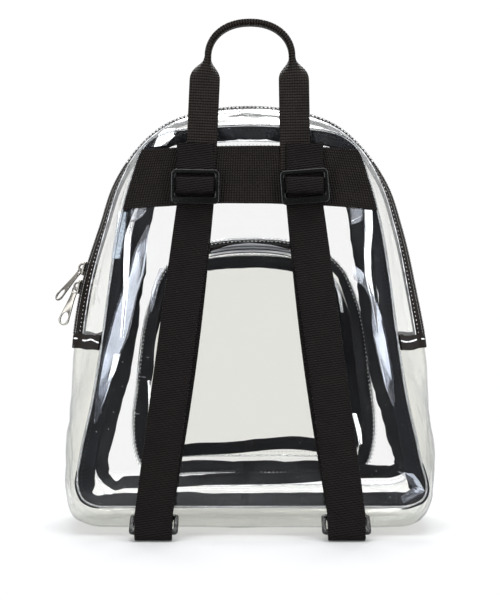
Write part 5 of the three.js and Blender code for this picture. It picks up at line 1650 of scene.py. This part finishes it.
# %% Straps
foot_clear = inner_bar[1] + ring_bar
for name, side in (("left", -1), ("right", 1)):
    path = cut_corners(strap_places())
    centres = []
    for y, z, shift in path:
        down = ramp(glide_foot - z, glide_foot - foot_clear)
        spread = strap_top_x + (strap_foot_x - strap_top_x) * down - shift
        centres.append((side * spread, y, z))
    centres = np.array(centres)
    along = unit(np.gradient(centres, axis=0))
    rights = np.repeat([[1.0, 0.0, 0.0]], len(centres), 0)
    ups = unit(np.cross(rights, along))
    strap = sweep(f"strap_{name}", centres, rights, ups, webbing_section(strap_width, strap_thickness),
                  strap_webbing, smooth=70)
    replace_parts(strap, f"shoulder_strap_{name}")
print("strap stations:", len(centres))

# %% [markdown]
# ## Ladder sliders, rings and tabs
# The adjusters are injection moulded. Their bars are round-edged, so a thin highlight runs along every
# edge. The right-hand one sits a few degrees out of level. They are drawn like the zip's flat parts.

# %% Moulded parts
for name, side in (("left", -1), ("right", 1)):
    window = glide_width - 2 * side_bar
    loops = [rounded_rectangle(glide_width, glide_height, 3.6),
             rounded_rectangle(window, opening, 1.2, y=centre_high + opening / 2 - glide_middle),
             rounded_rectangle(window, opening, 1.2, y=centre_low - opening / 2 - glide_middle)]
    glide = stamping(f"ladder_slider_{name}", loops, glide_thickness, 0.75, acetal)
    level = math.radians(1.0 if side < 0 else -4.5)
    place_mesh(glide, Matrix.Translation((side * strap_top_x * mm, glide_plane * mm, glide_middle * mm))
               @ Matrix.Rotation(level, 4, "Y") @ Matrix.Rotation(math.pi / 2, 4, "X"))
    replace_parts(glide, f"tri_glide_{name}")
    loops = [rounded_rectangle(33.4, ring_depth, 3.0), rounded_rectangle(27.0, ring_depth - 2 * ring_bar, 1.4)]
    ring = stamping(f"lower_ring_{name}", loops, ring_bar, 1.1, acetal)
    middle = (outer_bar + inner_bar) / 2
    place_mesh(ring, Matrix.Translation((side * strap_foot_x * mm, middle[0] * mm, middle[1] * mm))
               @ Matrix.Rotation(math.radians(ring_tilt), 4, "X"))
    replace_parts(ring, f"strap_ring_{name}")
    sewn = back_face - gap - 0.7
    loop = [(sewn, panel_foot + 7), (sewn, panel_foot + 1.4)]
    loop += [tuple(inner_bar + wrap * np.array([math.cos(math.radians(a)), math.sin(math.radians(a))]))
             for a in np.linspace(60, 300, 13)]
    loop.append((-half_depth - gap, panel_foot - 5.2))
    points = cut_corners(np.array([(side * strap_foot_x, y, z) for y, z in loop]))
    along = unit(np.gradient(points, axis=0))
    rights = np.repeat([[1.0, 0.0, 0.0]], len(points), 0)
    tab = sweep(f"ring_tab_{name}", points, rights, unit(np.cross(rights, along)),
                webbing_section(strap_width, 1.3), strap_webbing, smooth=70)
    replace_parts(tab, f"strap_tab_{name}")
print("moulded parts made")

# %% [markdown]
# ## Floor, backdrop and light
# The bag stands on a white sweep. Nearly neutral light comes from two tall softboxes at the sides, which
# the creases mirror, and from above and behind. The room in front of the bag is darker, and that is what
# the back panel mirrors, so the black tape behind it stays black. The floor is light grey with a slight
# glow, so that it renders white, and it fades out round the bag, so that it has no far edge.

# %% Floor
bpy.ops.object.select_all(action="DESELECT")
bpy.ops.mesh.primitive_grid_add(x_subdivisions=2, y_subdivisions=2, size=24, location=(0, 0, 0))
floor = bpy.context.view_layer.objects.active
floor.name = "floor"
floor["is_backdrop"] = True
floor_paint, tree, out = material("matt_white_floor")
paint = add(tree, "ShaderNodeBsdfPrincipled", {
    "Base Color": linear("#bebebf"), "Roughness": 0.9, "Specular IOR Level": 0.1,
    "Emission Color": linear("#ffffff"), "Emission Strength": 0.06})
away = add(tree, "ShaderNodeBsdfTransparent", {"Color": linear("#ffffff")})
# The fade runs from 0.22 to 0.34 metres from the bag's middle.
place = add(tree, "ShaderNodeTexCoord").outputs["Object"]
distance = add(tree, "ShaderNodeVectorMath", {0: place}, operation="LENGTH").outputs["Value"]
faded = add(tree, "ShaderNodeMapRange", {"Value": distance, "From Min": 0.22, "From Max": 0.34}).outputs[0]
laid = add(tree, "ShaderNodeMixShader", {0: faded, 1: paint.outputs[0], 2: away.outputs[0]})
tree.links.new(laid.outputs[0], out.inputs["Surface"])
floor.data.materials.append(floor_paint)
print("floor laid")

# %% Light
scene = bpy.context.scene
scene.view_settings.view_transform = "Standard"
scene.cycles.transparent_max_bounces = 48
scene.cycles.max_bounces = 16
world = bpy.data.worlds.new("studio")
scene.world = world
world.use_nodes = True
tree = world.node_tree
tree.nodes.clear()
way = add(tree, "ShaderNodeTexCoord").outputs["Generated"]
split = add(tree, "ShaderNodeSeparateXYZ", {0: way})
back = add(tree, "ShaderNodeMapRange", {"Value": split.outputs[1], "From Min": -0.3, "From Max": 0.35,
                                        "To Min": 0.045, "To Max": 1.0}).outputs[0]
above = add(tree, "ShaderNodeMapRange", {"Value": split.outputs[2], "From Min": 0.45, "From Max": 0.9,
                                         "To Min": 0.0, "To Max": 0.8}).outputs[0]
level = add(tree, "ShaderNodeMath", {0: back, 1: above}, operation="ADD").outputs[0]
room = add(tree, "ShaderNodeBackground", {"Color": linear("#f4f5f5"), "Strength": level})
seen = add(tree, "ShaderNodeBackground", {"Color": linear("#ffffff"), "Strength": 1.02})
ray = add(tree, "ShaderNodeLightPath").outputs["Is Camera Ray"]
mixed = add(tree, "ShaderNodeMixShader", {0: ray, 1: room.outputs[0], 2: seen.outputs[0]})
out = add(tree, "ShaderNodeOutputWorld", {"Surface": mixed.outputs[0]})


def softbox(name, place, target, width, height, power, colour):
    """An area light in metres and watts that points at its target."""
    data = bpy.data.lights.new(name, "AREA")
    data.shape = "RECTANGLE"
    data.size, data.size_y = width, height
    data.energy = power
    data.color = linear(colour)[:3]
    lamp = bpy.data.objects.new(name, data)
    lamp.location = place
    lamp.rotation_euler = (Vector(target) - Vector(place)).to_track_quat("-Z", "Y").to_euler()
    scene.collection.objects.link(lamp)
    return lamp


softbox("left_softbox", (-0.95, -1.25, 0.3), (0, 0, 0.15), 0.75, 1.9, 25, "#eff3f6")
softbox("right_softbox", (1.05, -1.15, 0.3), (0, 0, 0.15), 0.7, 1.9, 22, "#eff3f6")
softbox("top_softbox", (0.1, -0.5, 1.7), (0, 0, 0.1), 1.4, 0.9, 20, "#ffffff")
softbox("back_softbox", (0, 1.15, 1.25), (0, 0, 0.2), 1.3, 0.8, 26, "#ffffff")
print("lights set")

# %% [markdown]
# ## Size of the visible bag
# The visible bag must fill the same box as the solid model, so its box is written down.

# %% Size
low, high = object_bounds()
print("visual box in mm:", [round((b - a) * 1000, 1) for a, b in zip(low, high)])
